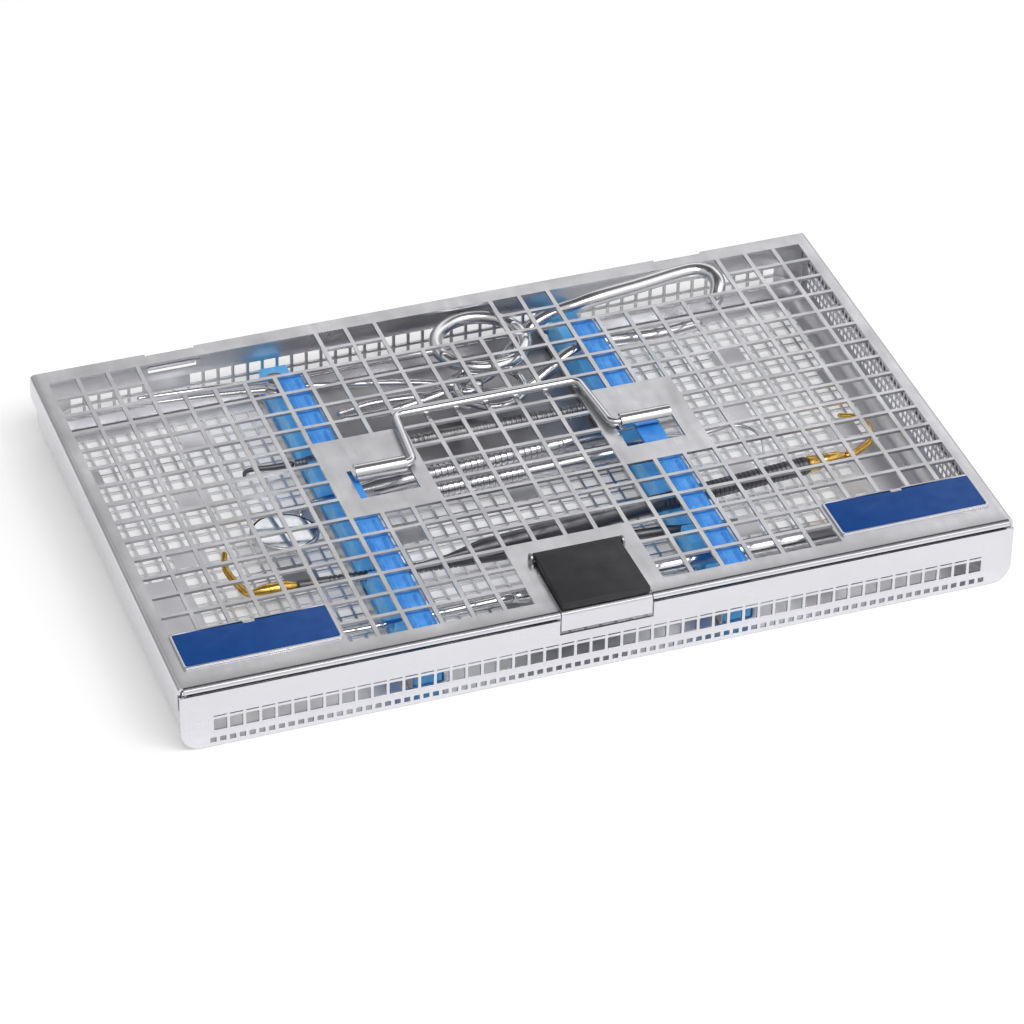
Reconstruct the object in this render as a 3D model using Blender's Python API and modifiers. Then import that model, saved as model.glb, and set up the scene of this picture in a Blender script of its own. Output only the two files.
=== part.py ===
"""Instrument cassette with a mesh lid, holding a mouth mirror and other dental instruments.

Metres, +Z up. The origin is on the table under the middle of the tray, +X runs along the long
side and -Y faces the side with the latch. Every piece is closed and keeps a small gap to the next.
"""

import bmesh
import bpy
import math
from mathutils import Matrix, Vector

# Driving dimensions.
WIDTH = 0.275
DEPTH = 0.176
LID_TOP = 0.0235
SHEET = 0.0009
STRAP = 0.0008
GAP = 0.0003

PITCH = 0.01025
BAR = 0.0014
HOLE = PITCH - BAR
HALF_COLUMNS = 13
HALF_ROWS = 8
GRID_Y = 0.0006
WINDOWS = ((-10, -4), (-2, 2), (4, 10))
WINDOW_ROWS = 2
LID_FLANGE = 0.0085
LID_BEND = 0.0013
FRONT_LIP = 0.0017

SIDE_WALL_X = WIDTH / 2 - SHEET - 0.0004
TRAY_TOP = LID_TOP - SHEET - 0.0004
TRAY_BEND = 0.0065
FRONT_WALL_TOP = 0.0206
FLANGE_DEPTH = 0.0065
FRONT_PITCH = 0.00509
BACK_WALL_Y = 0.0841
FLOOR_HOLE = 0.0165
FLOOR_PITCH = 2 * PITCH
PLAIN_FROM_ROW = 2
SMALL_PITCH = PITCH / 2
SMALL_HOLE = 0.0041
HOLE_ROW_Z = 0.0081

HINGE_Y = 0.08605
HINGE_Z = 0.0203
HINGE_X = 0.090
HINGE_ROLL = 0.0015
HINGE_NOTCH = 0.010
LID_KNUCKLE = 0.016
TRAY_KNUCKLE = 0.008
HINGE_PIN_RADIUS = 0.00075

HANDLE_Z = 0.0253
HANDLE_WIRE = 0.0014
HANDLE_REACH = 0.0265
SLEEVE_X = (0.0367, 0.0537)
SLEEVE_ROLL = 0.00225
CUTOUT_X = (0.0352, 0.0552)
CUTOUT_DEPTH = 0.0115
SLOT_DEPTH = 0.0038

LATCH_WIDTH = 0.029
LATCH_Y = -0.0599
LATCH_Z = 0.0251
LATCH_BARREL = 0.0013
LATCH_PIN_RADIUS = 0.0006
TAB_WIDTH = 0.030
TAB_BOTTOM = 0.0158
TAB_NOTCH_BOTTOM = 0.0150
NOTCH_BACK = -0.066

RAIL_X = {-1: -5.5 * PITCH, 1: 4.5 * PITCH}
RAIL_WIDTH = 0.0094
RAIL_TOP = 0.013
STEP_TOP = 0.014
STEP_Y = 0.046
RAIL_FOOT = 0.0023
STRIP_WIDTH = 0.0082
STRIP_BOTTOM = 0.0205

REST_Z = 0.010
MIRROR_TILT = -6
COLLECTION = "instrument_cassette"


# Scene and materials.

def clear_scene():
    for item in list(bpy.data.objects):
        bpy.data.objects.remove(item)


def make_collection(name):
    collection = bpy.data.collections.new(name)
    bpy.context.scene.collection.children.link(collection)
    return collection


def make_material(name, color, roughness, metallic):
    material = bpy.data.materials.new(name)
    material.use_nodes = True
    shader = material.node_tree.nodes["Principled BSDF"]
    shader.inputs["Base Color"].default_value = (*color, 1.0)
    shader.inputs["Roughness"].default_value = roughness
    shader.inputs["Metallic"].default_value = metallic
    return material


clear_scene()
PARTS = make_collection(COLLECTION)
CUTTERS = make_collection(COLLECTION + "_cutters")
CUTTERS.hide_render = True

SATIN = make_material("satin_steel", (0.62, 0.62, 0.65), 0.32, 1.0)
POLISHED = make_material("polished_steel", (0.75, 0.75, 0.77), 0.12, 1.0)
DARK = make_material("knurled_steel", (0.30, 0.30, 0.31), 0.38, 1.0)
GOLD = make_material("titanium_nitride_gold", (0.80, 0.52, 0.16), 0.25, 1.0)
SILICONE = make_material("blue_silicone", (0.05, 0.30, 0.75), 0.45, 0.0)
LABEL = make_material("blue_label", (0.02, 0.10, 0.36), 0.40, 0.0)
PLASTIC = make_material("black_plastic", (0.035, 0.035, 0.04), 0.45, 0.0)
MIRROR = make_material("mirror_glass", (0.90, 0.92, 0.93), 0.03, 1.0)


# Outlines: lists of (u, v) points in the plane of a sheet.

def arc(center, radius, start, end, steps):
    """Points on an arc, angles in degrees, both ends included."""
    turn = [math.radians(start + (end - start) * i / steps) for i in range(steps + 1)]
    return [(center[0] + radius * math.cos(a), center[1] + radius * math.sin(a)) for a in turn]


def rounded(path, radius, steps=4):
    """An open path whose inner corners are arcs."""
    result = [path[0]]
    for before, corner, after in zip(path, path[1:], path[2:]):
        back = (Vector(before) - Vector(corner)).normalized()
        ahead = (Vector(after) - Vector(corner)).normalized()
        half = back.angle(ahead) / 2
        center = Vector(corner) + (back + ahead).normalized() * (radius / math.sin(half))
        first = Vector(corner) + back * (radius / math.tan(half)) - center
        turn = math.pi - 2 * half
        side = 1 if back.x * ahead.y - back.y * ahead.x < 0 else -1
        for i in range(steps + 1):
            spin = Matrix.Rotation(side * turn * i / steps, 2)
            result.append(tuple(center + spin @ first))
    result.append(path[-1])
    return result


def ribbon(path, thickness):
    """The closed outline of a sheet of this thickness whose middle follows the path."""
    left = []
    right = []
    for i, point in enumerate(path):
        before = Vector(path[max(i - 1, 0)])
        after = Vector(path[min(i + 1, len(path) - 1)])
        here = Vector(point)
        ways = [way.normalized() for way in (here - before, after - here) if way.length > 0]
        along = sum(ways, Vector((0, 0))).normalized()
        normal = Vector((-along.y, along.x))
        reach = thickness / 2 / max(along.dot(ways[0]), 0.2)
        left.append(tuple(here + normal * reach))
        right.append(tuple(here - normal * reach))
    return left + right[::-1]


def circle(center, radius, steps=16):
    return arc(center, radius, 0, 360, steps)[:-1]


# Objects.

PLANES = {
    "X": Matrix(((0, 0, 1, 0), (1, 0, 0, 0), (0, 1, 0, 0), (0, 0, 0, 1))),
    "Y": Matrix(((1, 0, 0, 0), (0, 0, -1, 0), (0, 1, 0, 0), (0, 0, 0, 1))),
    "Z": Matrix.Identity(4),
}


def link(item, material, collection=None):
    (collection or PARTS).objects.link(item)
    item.data.materials.clear()
    item.data.materials.append(material)
    return item


def mesh_of_curve(curve_object, matrix):
    """A welded, outward-facing mesh of a curve object, in world space. The curve is removed."""
    PARTS.objects.link(curve_object)
    bpy.context.view_layer.update()
    graph = bpy.context.evaluated_depsgraph_get()
    mesh = bpy.data.meshes.new_from_object(curve_object.evaluated_get(graph))
    mesh.transform(matrix)
    shape = bmesh.new()
    shape.from_mesh(mesh)
    bmesh.ops.remove_doubles(shape, verts=shape.verts, dist=1e-6)
    bmesh.ops.recalc_face_normals(shape, faces=shape.faces)
    shape.to_mesh(mesh)
    shape.free()
    bpy.data.objects.remove(curve_object)
    return mesh


def sheet(name, outlines, axis, low, high, material, collection=None):
    """A flat sheet: filled outlines, the later ones being holes, from low to high along an axis."""
    curve = bpy.data.curves.new(name + "_outline", "CURVE")
    curve.dimensions = "2D"
    curve.fill_mode = "BOTH"
    curve.extrude = (high - low) / 2
    for outline in outlines:
        spline = curve.splines.new("POLY")
        spline.points.add(len(outline) - 1)
        for point, (u, v) in zip(spline.points, outline):
            point.co = (u, v, 0, 1)
        spline.use_cyclic_u = True
    offset = {"X": (1, 0, 0), "Y": (0, 1, 0), "Z": (0, 0, 1)}[axis]
    matrix = Matrix.Translation(Vector(offset) * (low + high) / 2) @ PLANES[axis]
    mesh = mesh_of_curve(bpy.data.objects.new(name + "_curve", curve), matrix)
    return link(bpy.data.objects.new(name, mesh), material, collection)


def smooth_path(points, steps=6):
    """Points on a smooth curve through the given ones."""
    ends = [2 * Vector(points[0]) - Vector(points[1]), 2 * Vector(points[-1]) - Vector(points[-2])]
    chain = [ends[0], *[Vector(p) for p in points], ends[1]]
    result = []
    for a, b, c, d in zip(chain, chain[1:], chain[2:], chain[3:]):
        for i in range(steps):
            t = i / steps
            bend = 2 * b + (c - a) * t + (2 * a - 5 * b + 4 * c - d) * t ** 2
            result.append((bend + (3 * b - a - 3 * c + d) * t ** 3) / 2)
    result.append(chain[-2])
    return result


def wire(name, points, radii, material, resolution=2, cyclic=False):
    """A round wire along the points; radii is one radius, or one for each end."""
    first, last = radii if isinstance(radii, tuple) else (radii, radii)
    curve = bpy.data.curves.new(name, "CURVE")
    curve.dimensions = "3D"
    curve.bevel_depth = first
    curve.bevel_resolution = resolution
    curve.use_fill_caps = not cyclic
    spline = curve.splines.new("POLY")
    spline.points.add(len(points) - 1)
    for i, (point, place) in enumerate(zip(spline.points, points)):
        point.co = (*place, 1)
        point.radius = 1 + (last / first - 1) * i / (len(points) - 1)
    spline.use_cyclic_u = cyclic
    return link(bpy.data.objects.new(name, curve), material)


def solid_wire(name, points, radii, material, resolution=2, cyclic=False):
    """The same wire as a mesh, so that it can be cut or joined."""
    made = wire(name + "_wire", points, radii, material, resolution, cyclic)
    PARTS.objects.unlink(made)
    mesh = mesh_of_curve(made, Matrix.Identity(4))
    return link(bpy.data.objects.new(name, mesh), material)


def frame_along(start, end):
    """A matrix at start whose +Z points to end."""
    turn = (Vector(end) - Vector(start)).to_track_quat("Z", "Y")
    return Matrix.Translation(start) @ turn.to_matrix().to_4x4()


def turned(name, profile, matrix, material, steps=16):
    """A turned solid: (radius, height) pairs from the top end to the bottom end."""
    mesh = bpy.data.meshes.new(name)
    shape = bmesh.new()
    verts = [shape.verts.new((radius, 0, height)) for radius, height in profile]
    for a, b in zip(verts, verts[1:]):
        shape.edges.new((a, b))
    shape.to_mesh(mesh)
    shape.free()
    item = link(bpy.data.objects.new(name, mesh), material)
    item.matrix_world = matrix
    screw = item.modifiers.new("turn", "SCREW")
    screw.steps = steps
    screw.render_steps = steps
    screw.use_merge_vertices = True
    screw.merge_threshold = 1e-6
    return item


def cylinder(name, start, end, radius, material, steps=16, collection=None):
    length = (Vector(end) - Vector(start)).length
    mesh = bpy.data.meshes.new(name)
    shape = bmesh.new()
    bmesh.ops.create_cone(shape, cap_ends=True, segments=steps, radius1=radius, radius2=radius,
                          depth=length)
    shape.to_mesh(mesh)
    shape.free()
    mesh.transform(Matrix.Translation((0, 0, length / 2)))
    item = link(bpy.data.objects.new(name, mesh), material, collection)
    item.matrix_world = frame_along(start, end)
    return item


def boxes(name, corners, material, collection=None):
    """One mesh of separate boxes, each given by its lowest and highest corners."""
    mesh = bpy.data.meshes.new(name)
    shape = bmesh.new()
    for low, high in corners:
        size = Vector(high) - Vector(low)
        middle = (Vector(high) + Vector(low)) / 2
        place = Matrix.Translation(middle) @ Matrix.Diagonal((*size, 1))
        bmesh.ops.create_cube(shape, size=1, matrix=place)
    shape.to_mesh(mesh)
    shape.free()
    return link(bpy.data.objects.new(name, mesh), material, collection)


def combine(target, tool, operation):
    """Joins the tool to the target, or cuts it out, and keeps the tool as a hidden helper."""
    for collection in list(tool.users_collection):
        collection.objects.unlink(tool)
    CUTTERS.objects.link(tool)
    tool.hide_render = True
    tool.display_type = "WIRE"
    modifier = target.modifiers.new(operation.lower(), "BOOLEAN")
    modifier.operation = operation
    modifier.object = tool
    return target


def joint_empty(name, location, parent=None):
    empty = bpy.data.objects.new(name, None)
    empty.empty_display_size = 0.01
    PARTS.objects.link(empty)
    empty.location = location
    bpy.context.view_layer.update()
    if parent:
        attach([empty], parent)
    return empty


def attach(items, parent):
    """Parents the items, leaving them where they are."""
    bpy.context.view_layer.update()
    for item in items:
        item.parent = parent
        item.matrix_parent_inverse = parent.matrix_world.inverted()


# The tray.

def tray_profile():
    """The bent middle line of the floor and the two side walls, in X and Z."""
    side = SIDE_WALL_X - SHEET / 2
    path = [(-side, TRAY_TOP), (-side, SHEET / 2), (side, SHEET / 2), (side, TRAY_TOP)]
    return rounded(path, TRAY_BEND - SHEET / 2, 5)


def tray_pan():
    """The floor and side walls in one bent sheet, left plain between the combs at the back."""
    front = -DEPTH / 2 + SHEET + GAP
    pan = sheet("tray_pan", [ribbon(tray_profile(), SHEET)], "Y", front, BACK_WALL_Y - GAP, SATIN)
    holes = []
    for column in range(-5, 6):
        for row in range(-3, 4):
            x = column * FLOOR_PITCH
            y = row * FLOOR_PITCH + GRID_Y - 0.002
            under_rail = any(abs(x - u) < FLOOR_HOLE / 2 + RAIL_WIDTH for u in RAIL_X.values())
            plain = RAIL_X[-1] < x < RAIL_X[1] and row >= PLAIN_FROM_ROW
            if under_rail or plain:
                continue
            low = (x - FLOOR_HOLE / 2, y - FLOOR_HOLE / 2, -SHEET)
            high = (x + FLOOR_HOLE / 2, y + FLOOR_HOLE / 2, 2 * SHEET)
            holes.append((low, high))
    return combine(pan, boxes("tray_floor_holes", holes, SATIN), "DIFFERENCE")


def wall_outline(half_width, top, notch):
    """A wall plate with round lower corners; notch is the (half width, depth) cut at its top."""
    radius = TRAY_BEND + 0.0005
    lower = arc((-half_width + radius, radius), radius, 180, 270, 5)
    lower += arc((half_width - radius, radius), radius, 270, 360, 5)
    half_notch, bottom = notch
    upper = [(half_width, top), (half_notch, top), (half_notch, bottom)]
    return lower + upper + [(-u, v) for u, v in upper[::-1]]


def punch_row(wall, name, middle_y, low, high, count, pitch):
    """Cuts a row of holes, centred on x = 0, through a wall at this depth."""
    cuts = []
    for i in range(count):
        x = (i - (count - 1) / 2) * pitch
        near = (x - SMALL_HOLE / 2, middle_y - 0.002, low)
        cuts.append((near, (x + SMALL_HOLE / 2, middle_y + 0.002, high)))
    return combine(wall, boxes(name, cuts, SATIN), "DIFFERENCE")


def front_wall():
    """The pierced front plate, whose top is folded inwards on both sides of the latch."""
    half = WIDTH / 2 - 0.0002
    half_notch = TAB_WIDTH / 2 + 0.0004
    outline = wall_outline(half, FRONT_WALL_TOP, (half_notch, TAB_NOTCH_BOTTOM))
    wall = sheet("front_wall", [outline], "Y", -DEPTH / 2, -DEPTH / 2 + SHEET, SATIN)
    low = HOLE_ROW_Z - SMALL_HOLE / 2
    punch_row(wall, "front_wall_holes", -DEPTH / 2, low, low + SMALL_HOLE, 50, FRONT_PITCH)
    near = -DEPTH / 2 + SHEET / 2
    far = -DEPTH / 2 + FLANGE_DEPTH
    folds = []
    for ends in ((0.0005 + half_notch, half - 0.0027), (0.0027 - half, -0.0005 - half_notch)):
        folds.append(((ends[0], near, FRONT_WALL_TOP - 0.0011), (ends[1], far, FRONT_WALL_TOP - 0.0002)))
    return combine(wall, boxes("front_wall_folds", folds, SATIN), "UNION")


def knuckle(name, path, center, width, material):
    """A strap rolled round the hinge pin, centred on x = center."""
    low = center - width / 2
    return sheet(name, [ribbon(path, STRAP)], "X", low, low + width, material)


def back_wall():
    """The rear wall, whose top carries the fixed hinge knuckles."""
    radius = TRAY_BEND + 0.0005
    outline = arc((-SIDE_WALL_X + radius, radius), radius, 180, 270, 5)
    outline += arc((SIDE_WALL_X - radius, radius), radius, 270, 360, 5)
    inner = HINGE_X - HINGE_NOTCH
    outer = HINGE_X + HINGE_NOTCH
    outline += [(SIDE_WALL_X, TRAY_TOP), (outer, TRAY_TOP), (outer, HINGE_Z - 0.0025)]
    outline += [(inner, HINGE_Z - 0.0025), (inner, TRAY_TOP), (-inner, TRAY_TOP)]
    outline += [(-inner, HINGE_Z - 0.0025), (-outer, HINGE_Z - 0.0025), (-outer, TRAY_TOP)]
    outline.append((-SIDE_WALL_X, TRAY_TOP))
    wall = sheet("back_wall", [outline], "Y", BACK_WALL_Y, BACK_WALL_Y + SHEET, SATIN)
    low = HOLE_ROW_Z - SMALL_HOLE / 2 - 0.0002
    high = low + SMALL_HOLE + SMALL_PITCH
    punch_row(wall, "back_wall_holes", BACK_WALL_Y, low, high, 49, SMALL_PITCH)
    middle = BACK_WALL_Y + SHEET / 2
    roll = arc((HINGE_Y, HINGE_Z), HINGE_ROLL, 180, -80, 10)
    path = [(middle, HINGE_Z - 0.004), *roll]
    reach = LID_KNUCKLE / 2 + GAP + TRAY_KNUCKLE / 2
    for side in (-1, 1):
        for end in (-1, 1):
            center = side * HINGE_X + end * reach
            strap = knuckle(f"tray_knuckle_{side}_{end}", path, center, TRAY_KNUCKLE, SATIN)
            combine(wall, strap, "UNION")
    return wall


def hinge_pin(name, side):
    reach = LID_KNUCKLE / 2 + GAP + TRAY_KNUCKLE
    start = (side * HINGE_X - reach, HINGE_Y, HINGE_Z)
    end = (side * HINGE_X + reach, HINGE_Y, HINGE_Z)
    return cylinder(name, start, end, HINGE_PIN_RADIUS, POLISHED)


def rail(name, side, rests):
    """A silicone comb. rests lists (y, z, radius) of each instrument that it holds."""
    front = -0.082
    back = 0.0815
    top = [(back, RAIL_FOOT), (back, STEP_TOP), (STEP_Y, STEP_TOP), (STEP_Y - 0.001, RAIL_TOP)]
    for y, z, radius in sorted(rests, reverse=True):
        bottom = z - radius - GAP
        narrow = radius + 0.0009
        wide = radius + 0.0020
        top += [(y + wide, RAIL_TOP), (y + narrow, bottom), (y - narrow, bottom)]
        top += [(y - wide, RAIL_TOP)]
    top += [(front, RAIL_TOP), (front, RAIL_FOOT)]
    low = RAIL_X[side] - RAIL_WIDTH / 2
    return sheet(name, [top], "X", low, low + RAIL_WIDTH, SILICONE)


def rail_channel(name, side):
    """The steel channel that carries a comb."""
    half = RAIL_WIDTH / 2 + GAP + STRAP / 2
    base = SHEET + GAP + STRAP / 2
    path = [(-half, 0.0058), (-half, base), (half, base), (half, 0.0058)]
    outline = [(u + RAIL_X[side], v) for u, v in ribbon(path, STRAP)]
    return sheet(name, [outline], "Y", -0.0825, 0.082, SATIN)


# The lid.

def cell_is_solid(column, row):
    """Cells without an opening, counted outwards from the middle."""
    across = column if column >= 0 else -column - 1
    handle_plate = across in (3, 4, 5) and -2 <= row <= 1
    latch_plate = across in (0, 1) and row <= -6
    label_plate = across >= 8 and row <= -7
    return handle_plate or latch_plate or label_plate


def lid_openings():
    """The square openings, and the wide windows along the back edge."""
    holes = []
    bottom = LID_TOP - 2 * SHEET
    top = LID_TOP + SHEET
    window_row = HALF_ROWS - WINDOW_ROWS
    for first, last in WINDOWS:
        corner = (first * PITCH + BAR / 2, window_row * PITCH + BAR / 2 + GRID_Y, bottom)
        holes.append((corner, (last * PITCH - BAR / 2, HALF_ROWS * PITCH - BAR / 2 + GRID_Y, top)))
    for column in range(-HALF_COLUMNS, HALF_COLUMNS):
        for row in range(-HALF_ROWS, HALF_ROWS):
            in_window = row >= window_row and any(a <= column < b for a, b in WINDOWS)
            if in_window or cell_is_solid(column, row):
                continue
            x = column * PITCH + BAR / 2
            y = row * PITCH + BAR / 2 + GRID_Y
            holes.append(((x, y, bottom), (x + HOLE, y + HOLE, top)))
    return holes


def handle_cutouts():
    """The slots beside and in front of each tongue that is rolled round the handle."""
    cuts = []
    for side in (-1, 1):
        inner, outer = (sorted((side * u for u in CUTOUT_X)))
        left, right = (sorted((side * u for u in SLEEVE_X)))
        bottom = LID_TOP - 2 * SHEET
        top = LID_TOP + SHEET
        cuts.append(((inner, -CUTOUT_DEPTH, bottom), (outer, 0, top)))
        cuts.append(((inner, -0.0001, bottom), (left, SLOT_DEPTH, top)))
        cuts.append(((right, -0.0001, bottom), (outer, SLOT_DEPTH, top)))
    return cuts


def lid_panel():
    """One folded sheet: mesh top, side flanges, front lip, handle tongues and hinge knuckles."""
    middle = LID_TOP - SHEET / 2
    side = WIDTH / 2 - SHEET / 2
    bottom = LID_TOP - LID_FLANGE
    path = rounded([(-side, bottom), (-side, middle), (side, middle), (side, bottom)], LID_BEND)
    front = -DEPTH / 2 + 0.0016
    lid = sheet("lid_panel", [ribbon(path, SHEET)], "Y", front, DEPTH / 2, SATIN)
    edge = -DEPTH / 2 + STRAP / 2
    lip = rounded([(front + 0.002, middle), (edge, middle), (edge, LID_TOP - FRONT_LIP)], 0.0011)
    half = WIDTH / 2 - 0.0012
    combine(lid, sheet("lid_front_lip", [ribbon(lip, STRAP)], "X", -half, half, SATIN), "UNION")
    half_notch = TAB_WIDTH / 2 + GAP
    cuts = lid_openings()
    cuts.append(((-half_notch, -DEPTH, 0.018), (half_notch, NOTCH_BACK, LID_TOP + SHEET)))
    combine(lid, boxes("lid_openings", cuts, SATIN), "DIFFERENCE")
    combine(lid, boxes("handle_slots", handle_cutouts()[0::3], SATIN), "DIFFERENCE")
    combine(lid, boxes("handle_slots_left", handle_cutouts()[1::3], SATIN), "DIFFERENCE")
    combine(lid, boxes("handle_slots_right", handle_cutouts()[2::3], SATIN), "DIFFERENCE")
    roll = arc((0, HANDLE_Z), HANDLE_Z - middle, -90, -330, 12)
    for number, sign in enumerate((-1, 1)):
        low, high = sorted((sign * SLEEVE_X[0], sign * SLEEVE_X[1]))
        tongue = ribbon([(0.003, middle), *roll], STRAP)
        combine(lid, sheet(f"sleeve_{number}", [tongue], "X", low, high, SATIN), "UNION")
        rear = DEPTH / 2 - STRAP / 2 - 0.00005
        down = rounded([(0.0835, middle), (rear, middle), (rear, HINGE_Z)], 0.0009)
        turn = arc((HINGE_Y, HINGE_Z), rear - HINGE_Y, 0, -190, 8)
        strap = knuckle(f"lid_knuckle_{number}", down + turn[1:], sign * HINGE_X, LID_KNUCKLE, SATIN)
        combine(lid, strap, "UNION")
        ear = [(LATCH_Y - 0.0017, LID_TOP - SHEET / 2), (LATCH_Y + 0.0017, LID_TOP - SHEET / 2)]
        ear += arc((LATCH_Y, LATCH_Z - 0.0004), 0.0017, 0, 180, 6)
        bore = circle((LATCH_Y, LATCH_Z), LATCH_PIN_RADIUS + GAP, 10)
        inner = LATCH_WIDTH / 2 + GAP
        low, high = sorted((sign * inner, sign * (inner + STRAP)))
        combine(lid, sheet(f"latch_ear_{number}", [ear, bore], "X", low, high, SATIN), "UNION")
    return lid


def lid_strip(name, side):
    """A silicone strip that grips the lid's bars from below with a row of blocks."""
    top = LID_TOP - SHEET - GAP
    half_block = HOLE / 2 - 0.0005
    outline = []
    last = HALF_ROWS - WINDOW_ROWS
    end = last * PITCH + GRID_Y + 0.001
    for row in range(-HALF_ROWS, last):
        center = (row + 0.5) * PITCH + GRID_Y
        if cell_is_solid(4, row):
            continue
        outline += [(center - half_block, top), (center - half_block, LID_TOP - 0.0002)]
        outline += [(center + half_block, LID_TOP - 0.0002), (center + half_block, top)]
    outline.append((end, top))
    reach = HALF_ROWS * PITCH
    for row in range(last, -HALF_ROWS, -1):
        tooth = end if row == last else row * PITCH + GRID_Y
        outline.append((tooth, STRIP_BOTTOM + 0.0006))
        outline.append((row * PITCH - PITCH / 2 + GRID_Y, STRIP_BOTTOM))
    outline.append((-reach + 0.001 + GRID_Y, STRIP_BOTTOM + 0.0006))
    low = RAIL_X[side] - STRIP_WIDTH / 2
    return sheet(name, [outline], "X", low, low + STRIP_WIDTH, SILICONE)


def label(name, side):
    """A plain label plate with a small notch in the middle of its back edge."""
    middle = side * 10.5 * PITCH
    half = 0.0253
    front = -0.0784
    back = -0.0606
    outline = [(middle - half, front), (middle + half, front), (middle + half, back)]
    outline += [(middle + 0.002, back), (middle + 0.002, back - 0.001)]
    outline += [(middle - 0.002, back - 0.001), (middle - 0.002, back), (middle - half, back)]
    return sheet(name, [outline], "Z", LID_TOP + GAP, LID_TOP + GAP + 0.0004, LABEL)


def handle_bail():
    inner = 0.0338
    far = 0.0316
    end = SLEEVE_X[1] - 0.0005
    near = rounded([(-end, 0), (-inner, 0), (-far, HANDLE_REACH), (0, HANDLE_REACH)], 0.0030, 5)
    path = near[:-1] + [(-u, v) for u, v in near[-2::-1]]
    points = [(u, v, HANDLE_Z) for u, v in path]
    return wire("handle_bail", points, HANDLE_WIRE, POLISHED, 3)


# The latch.

def latch_hook():
    """The steel flap that lies in the lid's notch and hooks over the front wall."""
    middle = LID_TOP - SHEET / 2
    front = -DEPTH / 2 + SHEET / 2
    foot = TAB_BOTTOM + SHEET / 2
    path = [(NOTCH_BACK - GAP, middle), (front, middle), (front, foot), (front + 0.002, foot)]
    outline = ribbon(rounded(path, 0.0011), SHEET)
    hook = sheet("latch_hook", [outline], "X", -TAB_WIDTH / 2, TAB_WIDTH / 2, SATIN)
    for x in (-0.008, 0.008):
        start = (x, -0.075, LID_TOP - 0.002)
        hole = cylinder(f"rivet_hole_{x}", start, (x, -0.075, LID_TOP + 0.001), 0.0013, SATIN)
        combine(hook, hole, "DIFFERENCE")
    return hook


def latch_cover():
    """The plastic cover, whose rounded back edge is the barrel on the pin."""
    bottom = LID_TOP + GAP
    top = LATCH_Z + LATCH_BARREL
    front = -DEPTH / 2 + 0.0008
    outline = arc((LATCH_Y, LATCH_Z), LATCH_BARREL, -90, 90, 8)
    outline += arc((front + 0.0008, top - 0.0008), 0.0008, 90, 180, 3) + [(front, bottom)]
    bore = circle((LATCH_Y, LATCH_Z), LATCH_PIN_RADIUS + GAP, 12)
    half = LATCH_WIDTH / 2
    cover = sheet("latch_cover", [outline, bore], "X", -half, half, PLASTIC)
    for x in (-0.008, 0.008):
        start = (x, -0.075, bottom - 0.001)
        hole = cylinder(f"cover_hole_{x}", start, (x, -0.075, bottom + 0.0016), 0.0013, SATIN)
        combine(cover, hole, "DIFFERENCE")
    return cover


def latch_rivet(name, x):
    """A rivet from below the flap up into the cover."""
    low = LID_TOP - SHEET - 0.0011
    head = LID_TOP - SHEET - GAP
    tip = LID_TOP + 0.0015
    profile = [(0, tip), (0.001, tip), (0.001, head), (0.0019, head), (0.0015, low), (0, low)]
    return turned(name, profile, Matrix.Translation((x, -0.075, 0)), POLISHED, 14)


def latch_pin():
    reach = LATCH_WIDTH / 2 + GAP + STRAP
    start = (-reach, LATCH_Y, LATCH_Z)
    return cylinder("latch_pin", start, (reach, LATCH_Y, LATCH_Z), LATCH_PIN_RADIUS, POLISHED, 10)


# The instruments.

def grooved(radius, start, end, count, depth=0.0003):
    """Turned grip rings between two heights, from the upper one down."""
    step = (start - end) / count
    profile = []
    for i in range(count):
        top = start - i * step
        profile += [(radius, top), (radius, top - step * 0.55)]
        profile += [(radius - depth, top - step * 0.7), (radius - depth, top - step * 0.9)]
    return profile


def mouth_mirror():
    """Handle, stem, cup and glass."""
    start = Vector((-0.052, 0.010, REST_Z))
    end = Vector((0.068, 0.0168, REST_Z))
    length = (end - start).length
    radius = 0.0030
    profile = [(0, length), (0.0022, length), (radius, length - 0.0012)]
    profile += grooved(radius, 0.064, 0.024, 5) + [(radius, 0.0235)]
    profile += [(radius, 0.010), (0.0019, 0.002), (0.0017, 0), (0, 0)]
    turned("mirror_handle", profile, frame_along(start, end), DARK)
    center = Vector((-0.0785, -0.0040, 0.0098))
    toward = Vector((0.66, 0.75, 0))
    tilt = Matrix.Rotation(math.radians(MIRROR_TILT), 4, Vector((0.75, -0.66, 0)))
    place = Matrix.Translation(center) @ tilt
    cup = [(0, -0.0016), (0.0102, -0.0016), (0.0112, -0.0006), (0.0112, 0.0012)]
    cup += [(0.0104, 0.0012), (0.0104, 0), (0, 0)]
    turned("mirror_cup", cup[::-1], place, POLISHED, 28)
    glass = [(0, 0.0011), (0.0101, 0.0011), (0.0101, GAP), (0, GAP)]
    turned("mirror_glass", glass, place, MIRROR, 28)
    along = (start - end).normalized()
    touch = place @ (toward.normalized() * (0.0112 + GAP + 0.0004)) - Vector((0, 0, 0.0002))
    middle = start + along * 0.0055
    lead = touch + Vector((0.0045, 0.0048, 0.0008))
    path = smooth_path([start + along * GAP, middle, lead, touch], 5)
    wire("mirror_stem", path, (0.0014, 0.0008), POLISHED)


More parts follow.
